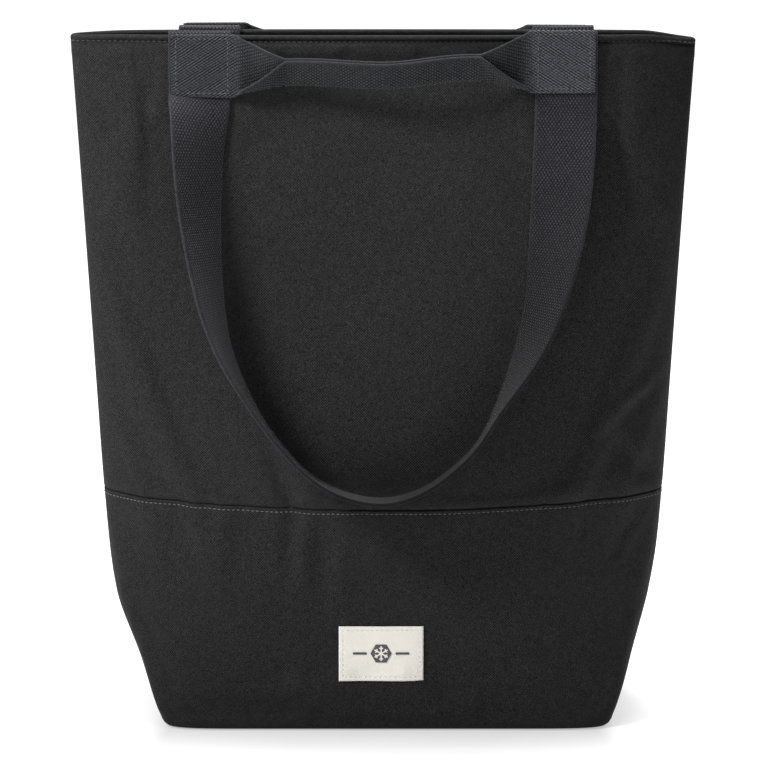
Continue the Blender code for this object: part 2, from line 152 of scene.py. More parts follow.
# -------- mesh making


def new_object(name, vertices, faces, uv=None, material=None):
    """A smooth-shaded mesh object. uv holds one pair for each face corner, in metres on the cloth."""
    mesh = bpy.data.meshes.new(name)
    mesh.from_pydata([tuple(v) for v in vertices], [], [tuple(int(i) for i in f) for f in faces])
    if uv is not None:
        layer = mesh.uv_layers.new(name="cloth")
        layer.data.foreach_set("uv", np.asarray(uv, np.float32).ravel())
    mesh.validate()
    mesh.shade_smooth()
    if material is not None:
        mesh.materials.append(material)
    obj = bpy.data.objects.new(name, mesh)
    bpy.context.collection.objects.link(obj)
    return obj


def grid_faces(rows, columns, wrap=False):
    """Four-cornered faces between a grid's points, row by row. wrap joins the last column to the first."""
    last = columns if wrap else columns - 1
    r, c = np.meshgrid(np.arange(rows - 1), np.arange(last), indexing="ij")
    d = (c + 1) % columns
    low, high = r * columns, (r + 1) * columns
    return np.stack([low + c, low + d, high + d, high + c], -1).reshape(-1, 4)


def small_tube_faces(base, rings, sides):
    """Faces of a small closed tube, whose rings' points are numbered from base."""
    first = range(base, base + sides)
    last = range(base + (rings - 1) * sides, base + rings * sides)
    return [*(base + grid_faces(rings, sides, wrap=True)), first[::-1], last]


def sheet_object(name, points, uv, material, thickness, facing):
    """A cloth sheet on a grid of points. Its outer face looks along facing, with its thickness behind."""
    rows, columns = points.shape[:2]
    faces = grid_faces(rows, columns)
    corners = points.reshape(-1, 3)[faces]
    normals = np.cross(corners[:, 2] - corners[:, 0], corners[:, 3] - corners[:, 1])
    if (normals * facing).sum() < 0:
        faces = faces[:, ::-1]
    obj = new_object(name, points.reshape(-1, 3), faces, uv.reshape(-1, 2)[faces.ravel()], material)
    solid = obj.modifiers.new("thickness", "SOLIDIFY")
    solid.thickness = thickness
    solid.offset = -1
    solid.use_even_offset = False
    return obj


def placed_sheet(name, rows, columns, place, material, thickness, facing):
    """A cloth sheet on a grid. place(row, column) gives a grid place's point and cloth coordinates."""
    grid = [[place(row, column) for column in columns] for row in rows]
    points = np.array([[point for point, _ in row] for row in grid])
    cloth = np.array([[uv for _, uv in row] for row in grid])
    return sheet_object(name, points, cloth, material, thickness, facing)


def tube_object(name, rings, uv, material):
    """A closed body on rings of points; uv has one more column than the rings, for the seam."""
    rows, columns = rings.shape[:2]
    faces = grid_faces(rows, columns, wrap=True)
    wide = grid_faces(rows, columns + 1)
    pairs = uv.reshape(-1, 2)[wide.ravel()]
    mesh_faces = [list(f) for f in faces]
    first, last = list(range(columns)), [(rows - 1) * columns + c for c in range(columns)]
    mesh_faces += [first[::-1], last]
    ends = np.concatenate([uv[0, :-1][::-1], uv[-1, :-1]])
    obj = new_object(name, rings.reshape(-1, 3), mesh_faces, np.concatenate([pairs, ends]), material)
    set_outward(obj)
    obj.data.set_sharp_from_angle(angle=math.radians(50))
    return obj


def set_outward(obj):
    """Turns a closed mesh's faces outward if its volume is negative."""
    mesh = obj.data
    mesh.calc_loop_triangles()
    co = np.array([v.co for v in mesh.vertices])
    tri = np.array([t.vertices for t in mesh.loop_triangles])
    if np.einsum("ij,ij->i", co[tri[:, 0]], np.cross(co[tri[:, 1]], co[tri[:, 2]])).sum() < 0:
        mesh.flip_normals()


def fasten(obj, slot, nodes=(), body="bag"):
    """Hangs a piece on its body and hides the nodes it stands for. Its slot is not used."""
    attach(obj, body)
    if nodes:
        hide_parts(*nodes)


# -------- materials


class Nodes:
    """Short-hand for wiring one material's nodes."""

    def __init__(self, name):
        self.material = bpy.data.materials.new(name)
        self.material.use_nodes = True
        self.tree = self.material.node_tree
        self.shader = self.tree.nodes["Principled BSDF"]

    def add(self, kind, **settings):
        node = self.tree.nodes.new(kind)
        for key, value in settings.items():
            setattr(node, key, value)
        return node

    def wire(self, value, socket):
        if isinstance(value, bpy.types.NodeSocket):
            self.tree.links.new(value, socket)
        else:
            socket.default_value = value

    def math(self, operation, a, b=0.0):
        node = self.add("ShaderNodeMath", operation=operation)
        self.wire(a, node.inputs[0])
        self.wire(b, node.inputs[1])
        return node.outputs[0]

    def vector(self, operation, a, b=(0, 0, 0)):
        """The outputs of a vector sum: the vector first, and the number as "Value"."""
        node = self.add("ShaderNodeVectorMath", operation=operation)
        self.wire(a, node.inputs[0])
        self.wire(b, node.inputs[1])
        return node.outputs

    def times(self, first, *others):
        """The product of the values."""
        for value in others:
            first = self.math("MULTIPLY", first, value)
        return first

    def rest(self, share):
        """What is left of 1 beside the share."""
        return self.math("SUBTRACT", 1.0, share)

    def blend(self, a, b, share):
        """a where the share is 0, b where it is 1."""
        return self.math("ADD", self.times(a, self.rest(share)), self.times(b, share))

    def object_place(self):
        """Where a point lies in the object's own frame, as one vector."""
        return self.add("ShaderNodeTexCoord").outputs["Object"]

    def split(self, vector):
        node = self.add("ShaderNodeSeparateXYZ")
        self.tree.links.new(vector, node.inputs[0])
        return tuple(node.outputs)

    def cloth_uv(self):
        """Metres along and across the cloth."""
        return self.split(self.add("ShaderNodeUVMap", uv_map="cloth").outputs[0])[:2]

    def noise(self, scale, detail=3.0, rough=0.55):
        node = self.add("ShaderNodeTexNoise")
        for key, number in (("Scale", scale), ("Detail", detail), ("Roughness", rough)):
            node.inputs[key].default_value = number
        self.tree.links.new(self.object_place(), node.inputs["Vector"])
        return node.outputs["Fac"]

    def ramp(self, value, low, high, start=0.0, end=1.0):
        """A value from low to high as the input goes from start to end."""
        node = self.add("ShaderNodeMapRange")
        self.wire(value, node.inputs["Value"])
        for key, number in (("From Min", start), ("From Max", end), ("To Min", low), ("To Max", high)):
            node.inputs[key].default_value = number
        return node.outputs["Result"]

    def spread(self, noise, low, high):
        """A value from low to high over the range that noise mostly covers."""
        return self.ramp(noise, low, high, 0.3, 0.7)

    def scaled_colour(self, colour, factor):
        """The colour times a factor that varies over the surface."""
        node = self.add("ShaderNodeVectorMath", operation="SCALE")
        node.inputs[0].default_value = colour
        self.wire(factor, node.inputs["Scale"])
        return node.outputs[0]

    def finish(self, colour, rough, height=None, bump=0.0, specular=0.3, sheen=0.0, metallic=0.0):
        self.wire(colour, self.shader.inputs["Base Color"])
        self.wire(rough, self.shader.inputs["Roughness"])
        self.shader.inputs["Specular IOR Level"].default_value = specular
        self.shader.inputs["Metallic"].default_value = metallic
        if sheen:
            self.shader.inputs["Sheen Weight"].default_value = sheen
            self.shader.inputs["Sheen Roughness"].default_value = 0.4
        if height is not None:
            node = self.add("ShaderNodeBump")
            node.inputs["Strength"].default_value = 1.0
            node.inputs["Distance"].default_value = bump
            self.wire(height, node.inputs["Height"])
            self.tree.links.new(node.outputs[0], self.shader.inputs["Normal"])
        return self.material


def plain_weave(n, u, v, pitch_u, pitch_v):
    """Height of a plain weave: two threads that pass over each other in turn, 0 to 1."""
    along = n.math("SINE", n.times(u, math.tau / pitch_u))
    across = n.math("SINE", n.times(v, math.tau / pitch_v))
    return n.math("ADD", n.times(along, across, 0.5), 0.5)


def shell_fabric():
    """Fine matt woven polyester with a faint melange, and painted shade that darkens it at the foot and in
    the upper right corner.
    """
    n = Nodes("shell_fabric")
    u, v = n.cloth_uv()
    weave = plain_weave(n, u, v, 0.0016, 0.0016)
    grain = n.noise(1300, 2.0, 0.6)
    patch = n.noise(9)
    slub = n.noise(260, 2.0)
    x, _, z = n.split(n.object_place())
    # Painted shade: the cloth darkens towards the foot, where the wall faces down.
    foot = n.ramp(z, 0.74, 1.0, 0.02, 0.15)
    # Painted shade: the upper right corner darkens, where the panel faces away from the key light.
    corner = n.times(n.ramp(z, 0.0, 1.0, 0.30, 0.39), n.ramp(x, 0.0, 0.38, 0.10, 0.17))
    tone = n.times(n.ramp(weave, 0.30, 1.70), n.spread(grain, 0.25, 1.75), n.spread(patch, 0.90, 1.10))
    tone = n.times(tone, n.spread(slub, 0.88, 1.12), foot, n.rest(corner))
    colour = n.scaled_colour((0.0190, 0.0188, 0.0189), tone)
    height = n.math("ADD", weave, n.times(grain, 0.6))
    return n.finish(colour, n.spread(patch, 0.74, 0.88), height, bump=0.00022, specular=0.10, sheen=0.02)


def light_fall(n, x, z):
    """The long straps' tone, by place: they lose light towards their foot, the right leg from higher up."""
    left_leg = n.ramp(z, 0.40, 1.02, 0.15, 0.25)
    right_leg = n.ramp(z, 0.27, 1.04, 0.26, 0.37)
    to_right = n.ramp(x, 0.0, 1.0, -0.05, 0.05)
    return n.times(n.blend(left_leg, right_leg, to_right), n.ramp(z, 0.55, 1.0, 0.155, 0.22))


def webbing_material(name, colour, twill=False):
    """Cotton webbing with offset ribs, and a lighter twill on the handle patches. Its tone has painted shade
    on the grips and down the straps, and a painted sheen on the right patches.
    """
    n = Nodes(name)
    u, v = n.cloth_uv()
    half, rib = WEB_WIDTH / 2, 0.0031
    bricks = plain_weave(n, u, v, rib, 0.0021)
    ribs = n.math("ABSOLUTE", n.math("SINE", n.times(u, math.tau / rib)))
    edge = n.math("ABSOLUTE", n.math("SUBTRACT", v, half))
    rows = n.times(bricks, n.ramp(ribs, 0.35, 1.15))
    rows = n.blend(rows, 0.36, n.ramp(edge, 0.0, 1.0, half - 0.0024, half - 0.0012))
    x, _, z = n.split(n.object_place())
    if twill:
        slant = n.math("ADD", n.times(u, 0.62), n.times(v, -1.0))
        lines = n.times(n.math("SINE", n.times(slant, math.tau / 0.0017)), 0.36)
        twilled = n.math("ADD", n.times(bricks, 0.62), n.math("ADD", lines, 0.14))
        rows = n.blend(rows, twilled, n.ramp(u, 1.0, 0.0, 0.036, 0.043))
        # Painted light: lift darkens the handle from its patch onto the flare and grip as painted shade, and
        # lightens the right patches as a painted sheen.
        lift = n.times(n.ramp(u, 0.84, 0.50, 0.037, 0.047), n.ramp(x, 0.88, 1.32, -0.1, 0.1))
    else:
        # Painted shade: lift darkens the straps towards their foot.
        lift = light_fall(n, x, z)
    fuzz = n.noise(1300, 3.0, 0.7)
    selvedge = n.ramp(edge, 1.0, 1.25, half - 0.0016, half - 0.0004)
    tone = n.times(n.ramp(rows, 0.20, 2.10), n.spread(fuzz, 0.25, 1.75), n.spread(n.noise(22), 0.85, 1.15))
    tone = n.times(tone, selvedge, lift)
    height = n.math("ADD", rows, n.times(fuzz, 0.7))
    return n.finish(n.scaled_colour(colour, tone), 0.92, height, bump=0.00045, specular=0.15, sheen=0.12)


def thread_material(name, colour, painted_right_shade=1.0):
    """Twisted sewing thread, with painted shade that darkens it towards the right by a factor."""
    n = Nodes(name)
    ply = n.noise(2600, 1.0)
    x, _, _ = n.split(n.object_place())
    # Painted shade: the thread darkens towards the right, away from the key light.
    tone = n.times(n.spread(ply, 0.65, 1.35), n.ramp(x, 1.0, painted_right_shade, -0.08, 0.10))
    return n.finish(n.scaled_colour(colour, tone), 0.65, ply, bump=0.0001, specular=0.35, sheen=0.15)


def lining_material():
    """Wipe-clean grey film with a faint embossed grain."""
    n = Nodes("lining_film")
    grain = n.noise(600, 2.0)
    colour = n.scaled_colour((0.46, 0.48, 0.50), n.spread(n.noise(14), 0.92, 1.06))
    return n.finish(colour, n.ramp(grain, 0.28, 0.42), grain, bump=0.0001, specular=0.5)


def tape_material():
    """Knitted zip tape and seam binding with fine ribs."""
    n = Nodes("zip_tape_cloth")
    u, v = n.cloth_uv()
    ribs = plain_weave(n, u, v, 0.0016, 0.0012)
    tone = n.times(n.ramp(ribs, 0.75, 1.3), n.spread(n.noise(1500, 2.0), 0.8, 1.2))
    colour = n.scaled_colour((0.016, 0.016, 0.017), tone)
    return n.finish(colour, 0.88, ribs, bump=0.0002, specular=0.2, sheen=0.15)


def fuzzy_material(name, colour, scale, low, high, rough, bump, specular):
    """A plain colour that varies from low to high over a fine grain, which also stands up by the bump."""
    n = Nodes(name)
    fuzz = n.noise(scale, 2.0)
    return n.finish(n.scaled_colour(colour, n.spread(fuzz, low, high)), rough, fuzz, bump, specular)


def metal_material():
    """Black enamelled zinc, worn to a lighter grey where it is rubbed."""
    n = Nodes("zip_enamel")
    worn = n.noise(160, 4.0, 0.65)
    scratch = n.noise(1400, 2.0)
    colour = n.scaled_colour((0.045, 0.045, 0.048), n.ramp(worn, 0.7, 2.2, 0.45, 0.75))
    return n.finish(colour, n.ramp(scratch, 0.26, 0.46), scratch, bump=0.00002, specular=0.5, metallic=0.85)


def label_material():
    """Undyed cotton cloth with a fine weave and faint warmer and darker places."""
    n = Nodes("label_cotton")
    u, v = n.cloth_uv()
    weave = plain_weave(n, u, v, 0.0011, 0.0011)
    tone = n.times(n.ramp(weave, 0.95, 1.04), n.spread(n.noise(1700, 2.0), 0.93, 1.07))
    tone = n.times(tone, n.spread(n.noise(30, 2.0), 0.95, 1.03))
    colour = n.scaled_colour((0.75, 0.725, 0.665), tone)
    return n.finish(colour, 0.92, weave, bump=0.00012, specular=0.2, sheen=0.1)


# -------- fabric relief


def soft_noise(x, z, cell_x, cell_z, seed):
    """Smooth repeatable noise over a panel, from about -1 to 1, with one bump to each cell."""
    columns, rows = int(0.44 / cell_x) + 6, int(0.46 / cell_z) + 6
    values = np.random.default_rng(seed).uniform(-1, 1, (rows, columns))
    row_place, column_place = z / cell_z + 2, (x + 0.22) / cell_x + 2

    def weights(place):
        base = np.floor(place).astype(int)
        t = place - base
        return base, (
            -0.5 * t**3 + t**2 - 0.5 * t,
            1.5 * t**3 - 2.5 * t**2 + 1,
            -1.5 * t**3 + 2 * t**2 + 0.5 * t,
            0.5 * t**3 - 0.5 * t**2,
        )

    row_base, row_weights = weights(row_place)
    column_base, column_weights = weights(column_place)
    total = np.zeros(np.shape(x))
    for i in range(4):
        row = np.clip(row_base + i - 1, 0, rows - 1)
        for j in range(4):
            column = np.clip(column_base + j - 1, 0, columns - 1)
            total += values[row, column] * row_weights[i] * column_weights[j]
    return total


# Soft folds in the front and back panels: x, height, length, width, lean from upright in degrees, rise
FRONT_FOLDS = (
    (-0.0620, 0.155, 0.050, 0.011, -22, -0.0026),
    (-0.0450, 0.153, 0.046, 0.012, -30, 0.0020),
    (-0.0585, 0.122, 0.038, 0.010, 4, -0.0020),
    (-0.0490, 0.118, 0.044, 0.009, 3, 0.0019),
    (-0.0370, 0.112, 0.056, 0.010, 2, -0.0018),
    (-0.0240, 0.110, 0.060, 0.012, 3, 0.0013),
    (0.0050, 0.118, 0.050, 0.012, -4, -0.0010),
    (0.1600, 0.212, 0.060, 0.010, 52, 0.0019),
    (0.1560, 0.200, 0.060, 0.010, 48, -0.0019),
    (0.1560, 0.178, 0.050, 0.010, -40, 0.0016),
    (0.1520, 0.166, 0.050, 0.010, -44, -0.0016),
    (0.1200, 0.151, 0.060, 0.010, 80, 0.0013),
    (0.1580, 0.118, 0.042, 0.008, 35, 0.0015),
    (0.1490, 0.112, 0.042, 0.013, 35, -0.0014),
    (-0.1200, 0.300, 0.120, 0.034, 8, -0.0008),
    (0.0300, 0.330, 0.100, 0.040, 60, 0.0007),
)
BACK_FOLDS = (
    (0.040, 0.158, 0.050, 0.010, 22, -0.0015),
    (0.058, 0.118, 0.040, 0.010, -18, 0.0011),
    (-0.070, 0.150, 0.040, 0.010, -20, -0.0012),
    (-0.150, 0.240, 0.060, 0.010, -24, 0.0012),
    (0.020, 0.300, 0.110, 0.040, 40, -0.0009),
)
FOLDS = {"front": FRONT_FOLDS, "back": BACK_FOLDS}


def folds(x, z, rows):
    """Sum of the soft folds at points of a panel."""
    total = np.zeros_like(x)
    for px, pz, length, width, lean, rise in rows:
        angle = math.radians(lean)
        along = (x - px) * math.sin(angle) + (z - pz) * math.cos(angle)
        across = (x - px) * math.cos(angle) - (z - pz) * math.sin(angle)
        total += rise * np.exp(-((along / (length / 2)) ** 2) - (across / (width / 2)) ** 2)
    return total


def groove(distance, width, depth):
    return -depth * bell(distance, width)


# -------- shell

SIDE_STEPS, FRONT_STEPS = 36, 150
STITCH_DROP = 0.0020
RIM_STITCH_Z = HEIGHT - 0.0040
RIM_DROOP = {"left": 0.0008, "right": 0.0032}
SEAM_CLIMB = 0.0031
# Half the gap between the front and back sheets at the side seams
HALF_GAP = 0.0001


def rim_droop(x, z):
    """How far the rim's ends sag below level, most at the right end."""
    reach = smooth((np.abs(x) - 0.158) / 0.033) * smooth((z - 0.34) / 0.09)
    return -reach * np.where(x > 0, RIM_DROOP["right"], RIM_DROOP["left"])


def seam_rise(x, z):
    """How much the panel seam climbs towards the side seams, with the cloth round it."""
    return SEAM_CLIMB * smooth((np.abs(x) - 0.03) / 0.14) * bell(z - SEAM, 0.035)


def ring_grid(levels, side, side_steps=SIDE_STEPS, front_steps=FRONT_STEPS):
    """Points on the section at rows of (inset, height), and the cloth coordinates there."""
    points, cloth = [], []
    climb = 0.0
    for k, (inset, z) in enumerate(levels):
        ring = half_ring(z, side_steps, front_steps, inset)
        points.append(np.column_stack([ring[:, 0], side * ring[:, 1], np.full(len(ring), z)]))
        run = run_along(ring)
        if k:
            climb += math.hypot(z - levels[k - 1][1], inset - levels[k - 1][0])
        cloth.append(np.column_stack([run - run[-1] / 2, np.full(len(ring), climb)]))
    return np.array(points), np.array(cloth)


def grid_normals(points):
    """Unit normals of a grid that point away from the bag's middle."""
    down, across = np.gradient(points, axis=0), np.gradient(points, axis=1)
    normal = np.cross(down, across)
    normal /= np.maximum(np.linalg.norm(normal, axis=2, keepdims=True), 1e-12)
    centre = points * (1, 1, 0)
    flip = np.sign((normal * centre).sum(axis=2, keepdims=True))
    flip[flip == 0] = 1
    return normal * flip


def level_normals(points, side):
    """Unit outward directions of a grid's rows, kept level so that relief never moves a seam up or down."""
    across = np.gradient(points, axis=1)
    normal = np.stack([across[:, :, 1], -across[:, :, 0], np.zeros(across.shape[:2])], axis=2)
    normal /= np.maximum(np.linalg.norm(normal, axis=2, keepdims=True), 1e-12)
    return normal * np.where(side * normal[:, :, 1:2] < 0, -1, 1)


def calm(x, z):
    """1 over the open panels, falling to 0 under the sewn patches, where the wall is held flat."""
    beside = smooth((np.abs(np.abs(x) - 0.110) - 0.024) / 0.014)
    below = smooth((0.386 - z) / 0.014)
    return np.maximum(beside, below)


def panel_relief(x, z, to_side, word, upper):
    """Outward relief of an outer panel: broad slack, folds, seam puckers and the sunk lines of its seams."""
    seed = {"front": 11, "back": 47}[word]
    relief = 0.0008 * soft_noise(x, z, 0.075, 0.095, seed)
    relief += 0.00035 * soft_noise(x, z, 0.028, 0.036, seed + 1)
    relief += 0.00010 * soft_noise(x, z, 0.011, 0.013, seed + 2)
    relief += folds(x, z, FOLDS[word])
    relief += 0.00035 * soft_noise(x, z, 0.0065, 0.06, seed + 3) * bell(z - SEAM, 0.010)
    relief += 0.00035 * soft_noise(x, z, 0.009, 0.06, seed + 6) * bell(z - RIM_STITCH_Z + 0.006, 0.006)
    relief *= smooth(to_side / 0.030) * calm(x, z)
    if upper:
        relief += groove(z - SEAM, 0.0018, 0.0008)
        relief += 0.0004 * bell(z - SEAM - 0.0055, 0.003)
        relief += 0.0008 * bell(z - RIM_STITCH_Z + 0.0065, 0.0032) * calm(x, z)
    else:
        relief += groove(z - (SEAM - STITCH_DROP), 0.0007, 0.00035)
        relief += 0.0002 * bell(z - SEAM, 0.0012)
        relief += groove(z - 0.0050, 0.0013, 0.0003)
    return relief


def lower_levels():
    """Rows of (inset, height) up the lower panel, from the base seam to the fold over the panel seam."""
    rows = [(0.0052, 0.0002), (0.0030, 0.0003), (0.0013, 0.0010), (0.0004, 0.0022), (0.0, 0.0040)]
    rows += [(0.0, z) for z in np.linspace(0.0055, 0.0085, 4)]
    rows += [(0.0, z) for z in np.linspace(0.0110, SEAM - 0.006, 50)]
    rows += [(0.0, z) for z in np.linspace(SEAM - 0.0052, SEAM - 0.0008, 10)]
    return rows + [(0.0002, SEAM - 0.0003), (0.0006, SEAM + 0.0001), (0.0012, SEAM + 0.0002)]


def upper_levels():
    """Rows of (inset, height) up the upper panel, round the rolled rim and down inside it to the zip."""
    stitch = RIM_STITCH_Z
    rows = [(0.0009, SEAM - 0.0002), (0.0005, SEAM + 0.0004)]
    rows += [(0.0, z) for z in np.linspace(SEAM + 0.0012, SEAM + 0.008, 9)]
    rows += [(0.0, z) for z in np.linspace(SEAM + 0.011, stitch - 0.010, 92)]
    rows += [(0.0, z) for z in np.linspace(stitch - 0.009, stitch - 0.0028, 8)]
    close = (0.0005, 0.0009, 0.0014, 0.0020)
    rows += [(0.0, stitch - step) for step in close[::-1]]
    rows += [(0.0, stitch + step) for step in (0.0, *close)]
    rows += [(0.0, stitch + 0.0025), (0.0002, stitch + 0.0031), (0.0008, stitch + 0.0037)]
    rows += [(0.0016, HEIGHT), (0.0026, HEIGHT), (0.0036, stitch + 0.0038), (0.0045, stitch + 0.0034)]
    rows += [(0.0050, stitch + 0.0026), (0.0050, stitch + 0.0018), (0.0044, stitch + 0.0010)]
    rows += [(0.0040, stitch), (0.0044, stitch - 0.0010), (0.0050, stitch - 0.0022)]
    return rows + [(0.0050, z) for z in np.linspace(stitch - 0.0036, 0.4164, 4)]


def lean(x, z):
    """How far the bag's foot stands to the right of its rim, with its right side drawn in above it."""
    drawn_in = bell(z - 0.068, 0.024) * smooth(x / 0.17)
    return 0.0023 * smooth((0.10 - z) / 0.08) - 0.0020 * drawn_in


class Skin:
    """The outer face as built, for the pieces that are sewn on it or lie against it."""

    def __init__(self):
        self.rows = {word: [] for word in SIDES}

    def add(self, word, z, x, out):
        order = np.argsort(x)
        self.rows[word].append((z, x[order], out[order]))

    def out(self, word, x, z):
        """Outward distance of the face at a point."""
        rows = self.rows[word]
        k = int(np.clip(np.searchsorted([row[0] for row in rows], z) - 1, 0, len(rows) - 2))
        (z0, x0, out0), (z1, x1, out1) = rows[k], rows[k + 1]
        return float(mix(np.interp(x, x0, out0), np.interp(x, x1, out1), np.clip((z - z0) / (z1 - z0), 0, 1)))


def make_shell(fabric, slack):
    """The outer fabric, one sheet for each panel, with the rim turned over and down to the zip.

    Returns the (object, points) of each panel and the face that other pieces lie on.
    """
    made, skin = {}, Skin()
    for word, side in SIDES.items():
        for part, levels in (("lower", lower_levels()), ("upper", upper_levels())):
            flat, cloth = ring_grid(levels, side)
            along = cloth[:, :, 0]
            to_side = np.minimum(along - along[:, :1], along[:, -1:] - along)
            x, z = flat[:, :, 0], flat[:, :, 2]
            relief = panel_relief(x, z, to_side, word, part == "upper")
            relief += slack_at(slack[word], levels, x.shape[1]) * smooth(to_side / 0.040) * calm(x, z)
            outer = np.array([inset < 0.0030 for inset, _ in levels])[:, None]
            fade = smooth((HEIGHT - 0.0012 - z) / 0.006) * smooth((z - 0.0015) / 0.010)
            normals = level_normals(flat, side)
            facing = smooth(np.abs(normals[:, :, 1]) / 0.8)
            sunk = groove(z - RIM_STITCH_Z, 0.0011, 0.0020) * smooth(to_side / 0.010)
            points = flat + normals * ((relief * fade + sunk) * outer * facing)[:, :, None]
            for r, (inset, height) in enumerate(levels):
                if inset == 0:
                    skin.add(word, height, points[r, :, 0], side * points[r, :, 1])
            points[:, :, 2] += rim_droop(x, z) + seam_rise(x, z)
            points[:, :, 0] += lean(x, z)
            points[:, 0, 1] = points[:, -1, 1] = side * HALF_GAP
            obj = sheet_object(f"shell_{word}_{part}", points, cloth, fabric, 0.0006, (0, side, 0))
            made[word, part] = (obj, points)
    return made, skin


def declare_panels(shell, word):
    """Fastens the two panels of one side to the bag and hides the nodes they stand for."""
    upper_nodes = [f"outer_{word}_upper", f"foam_{word}", f"rim_hem_{word}"]
    for part, nodes in (("lower", [f"outer_{word}_lower"]), ("upper", upper_nodes)):
        obj, _ = shell[word, part]
        fasten(obj, "outer_fabric", nodes)


def slack_at(slack, levels, columns):
    """The settled cloth's outward rise, read at the rows and columns of a panel."""
    if slack is None:
        return np.zeros((len(levels), columns))
    heights, rise = slack
    place = np.linspace(0, rise.shape[1] - 1, columns)
    rows = []
    for _, z in levels:
        k = float(np.interp(z, heights, np.arange(len(heights))))
        low = min(int(k), len(heights) - 2)
        rows.append(np.interp(place, np.arange(rise.shape[1]), mix(rise[low], rise[low + 1], k - low)))
    return np.array(rows)


def round_sheet(name, ring, shares, crowned, flat, shift, material):
    """A sheet over the whole section: one face at the crowned heights of its shares, the other flat."""
    outline = np.concatenate([ring * (1, -1), ring[::-1][1:-1]])
    rings = [np.column_stack([outline * s, np.full(len(outline), z)]) for s, z in zip(shares, crowned)][::-1]
    rings += [np.column_stack([outline * s, np.full(len(outline), flat)]) for s in shares]
    rings = np.array(rings)
    rings[:, :, 0] += shift
    uv = np.concatenate([rings[:, :, :2], rings[:, :1, :2]], axis=1)
    return tube_object(name, rings, uv, material)


def make_base(fabric):
    """The fabric base, slightly crowned between its seams."""
    ring = half_ring(0.0002, SIDE_STEPS, FRONT_STEPS, 0.0050)
    shares = np.array([1.0, 0.97, 0.9, 0.75, 0.5, 0.25, 0.02])
    crowned = 0.0002 + 0.0003 * (1 - shares) ** 0.5
    base = round_sheet("shell_base", ring, shares, crowned, 0.0010, lean(0.0, 0.0), fabric)
    fasten(base, "outer_fabric", ["outer_base", "base_board", "foam_base"])


# -------- lining

LINING_TOP = 0.4160
LINING_STEPS = (20, 70)


def make_lining(film):
    """The film inside the walls and over the floor."""
    for word, side in SIDES.items():
        levels = [(WALL + 0.0004, z) for z in np.linspace(FLOOR_TOP + 0.0002, LINING_TOP, 60)]
        points, cloth = ring_grid(levels, side, *LINING_STEPS)
        x, z = points[:, :, 0], points[:, :, 2]
        ripple = 0.0006 * soft_noise(x, z, 0.030, 0.045, 90 + side)
        ripple += 0.0002 * soft_noise(x, z, 0.010, 0.014, 95 + side)
        ease = smooth((LINING_TOP - z) / 0.03)
        points = points - grid_normals(points) * (np.abs(ripple) * ease)[:, :, None]
        points[:, 0, 1] = points[:, -1, 1] = side * HALF_GAP
        wall = sheet_object(f"lining_{word}_film", points, cloth, film, 0.0004, (0, -side, 0))
        fasten(wall, "lining", [f"lining_{word}"])
    ring = half_ring(FLOOR_TOP, *LINING_STEPS, WALL + 0.0006)
    shares = np.array([1.0, 0.96, 0.85, 0.6, 0.3, 0.02])
    crowned = FLOOR_TOP + 0.0001 + 0.0004 * (1 - shares)
    floor = round_sheet("lining_floor_film", ring, shares, crowned, FLOOR_TOP - 0.0005, 0.0, film)
    fasten(floor, "lining", ["lining_base"])


def make_side_bindings(tape):
    """The tape sewn over each side seam, inside the lining."""
    heights, across = np.linspace(0.011, 0.405, 80), np.linspace(-0.0025, 0.0025, 7)
    for word, hand in HANDS.items():

        def place(z, y):
            face = section(z)[0] - WALL - 0.0026
            return (hand * (face + 0.0003 * math.cos(y * 600)), y, z), (y, z)

        strip = placed_sheet(f"side_binding_{word}_tape", heights, across, place, tape, 0.0005, (-hand, 0, 0))
        fasten(strip, "tape", [f"side_binding_{word}"])


# -------- stitching


def stitch_row(name, path, normals, material, pitch, length, radius, lift=0.0, seed=3):
    """Separate stitches along a path of points, each a small capsule that dives in at its ends."""
    path, normals = np.asarray(path), np.asarray(normals)
    run = run_along(path)
    count = max(int(run[-1] / pitch), 1)
    rng = np.random.default_rng(seed)
    sides, rings = 8, 7
    vertices, faces = [], []
    for k in range(count):
        middle = (k + 0.5) * run[-1] / count
        here = [middle + length * (j / (rings - 1) - 0.5) for j in range(rings)]
        centre = np.column_stack([np.interp(here, run, path[:, a]) for a in range(3)])
        up = np.array([np.interp(middle, run, normals[:, a]) for a in range(3)])
        up /= np.linalg.norm(up)
        along = centre[-1] - centre[0]
        along /= np.linalg.norm(along)
        across = np.cross(up, along)
        slip = rng.uniform(-1, 1) * radius * 0.25
        faces += small_tube_faces(len(vertices), rings, sides)
        for j in range(rings):
            t = 2 * j / (rings - 1) - 1
            fat = radius * math.sqrt(max(1 - abs(t) ** 3, 0.04))
            spot = centre[j] + up * (lift + radius * (0.55 - 1.1 * t * t)) + across * slip * t
            for s in range(sides):
                turn = math.tau * s / sides
                vertices.append(spot + up * fat * math.sin(turn) * 0.85 + across * fat * math.cos(turn))
    obj = new_object(name, vertices, faces, None, material)
    set_outward(obj)
    return obj


def square_path(low, high, steps=12):
    """Points round a rectangle between two (x, height) corners, anticlockwise and closed."""
    corners = np.array([low, (high[0], low[1]), high, (low[0], high[1]), low])
    shares = np.linspace(0, 1, steps, endpoint=False)[:, None]
    sides = [mix(a, b, shares) for a, b in zip(corners, corners[1:])]
    return np.concatenate([*sides, corners[:1]])


def surface_path(points, columns, height):
    """The line on a panel's grid at the height wanted at each column's x, with its normals."""
    z = points[:, :, 2]
    normal = grid_normals(points)
    line, up = [], []
    for c in columns:
        column = z[:, c]
        top = int(np.argmax(column))
        rows = np.arange(top + 1)
        k = float(np.interp(height(points[0, c, 0]), column[: top + 1], rows))
        low = min(int(k), top - 1)
        line.append(mix(points[low, c], points[low + 1, c], k - low))
        up.append(mix(normal[low, c], normal[low + 1, c], k - low))
    return line, up


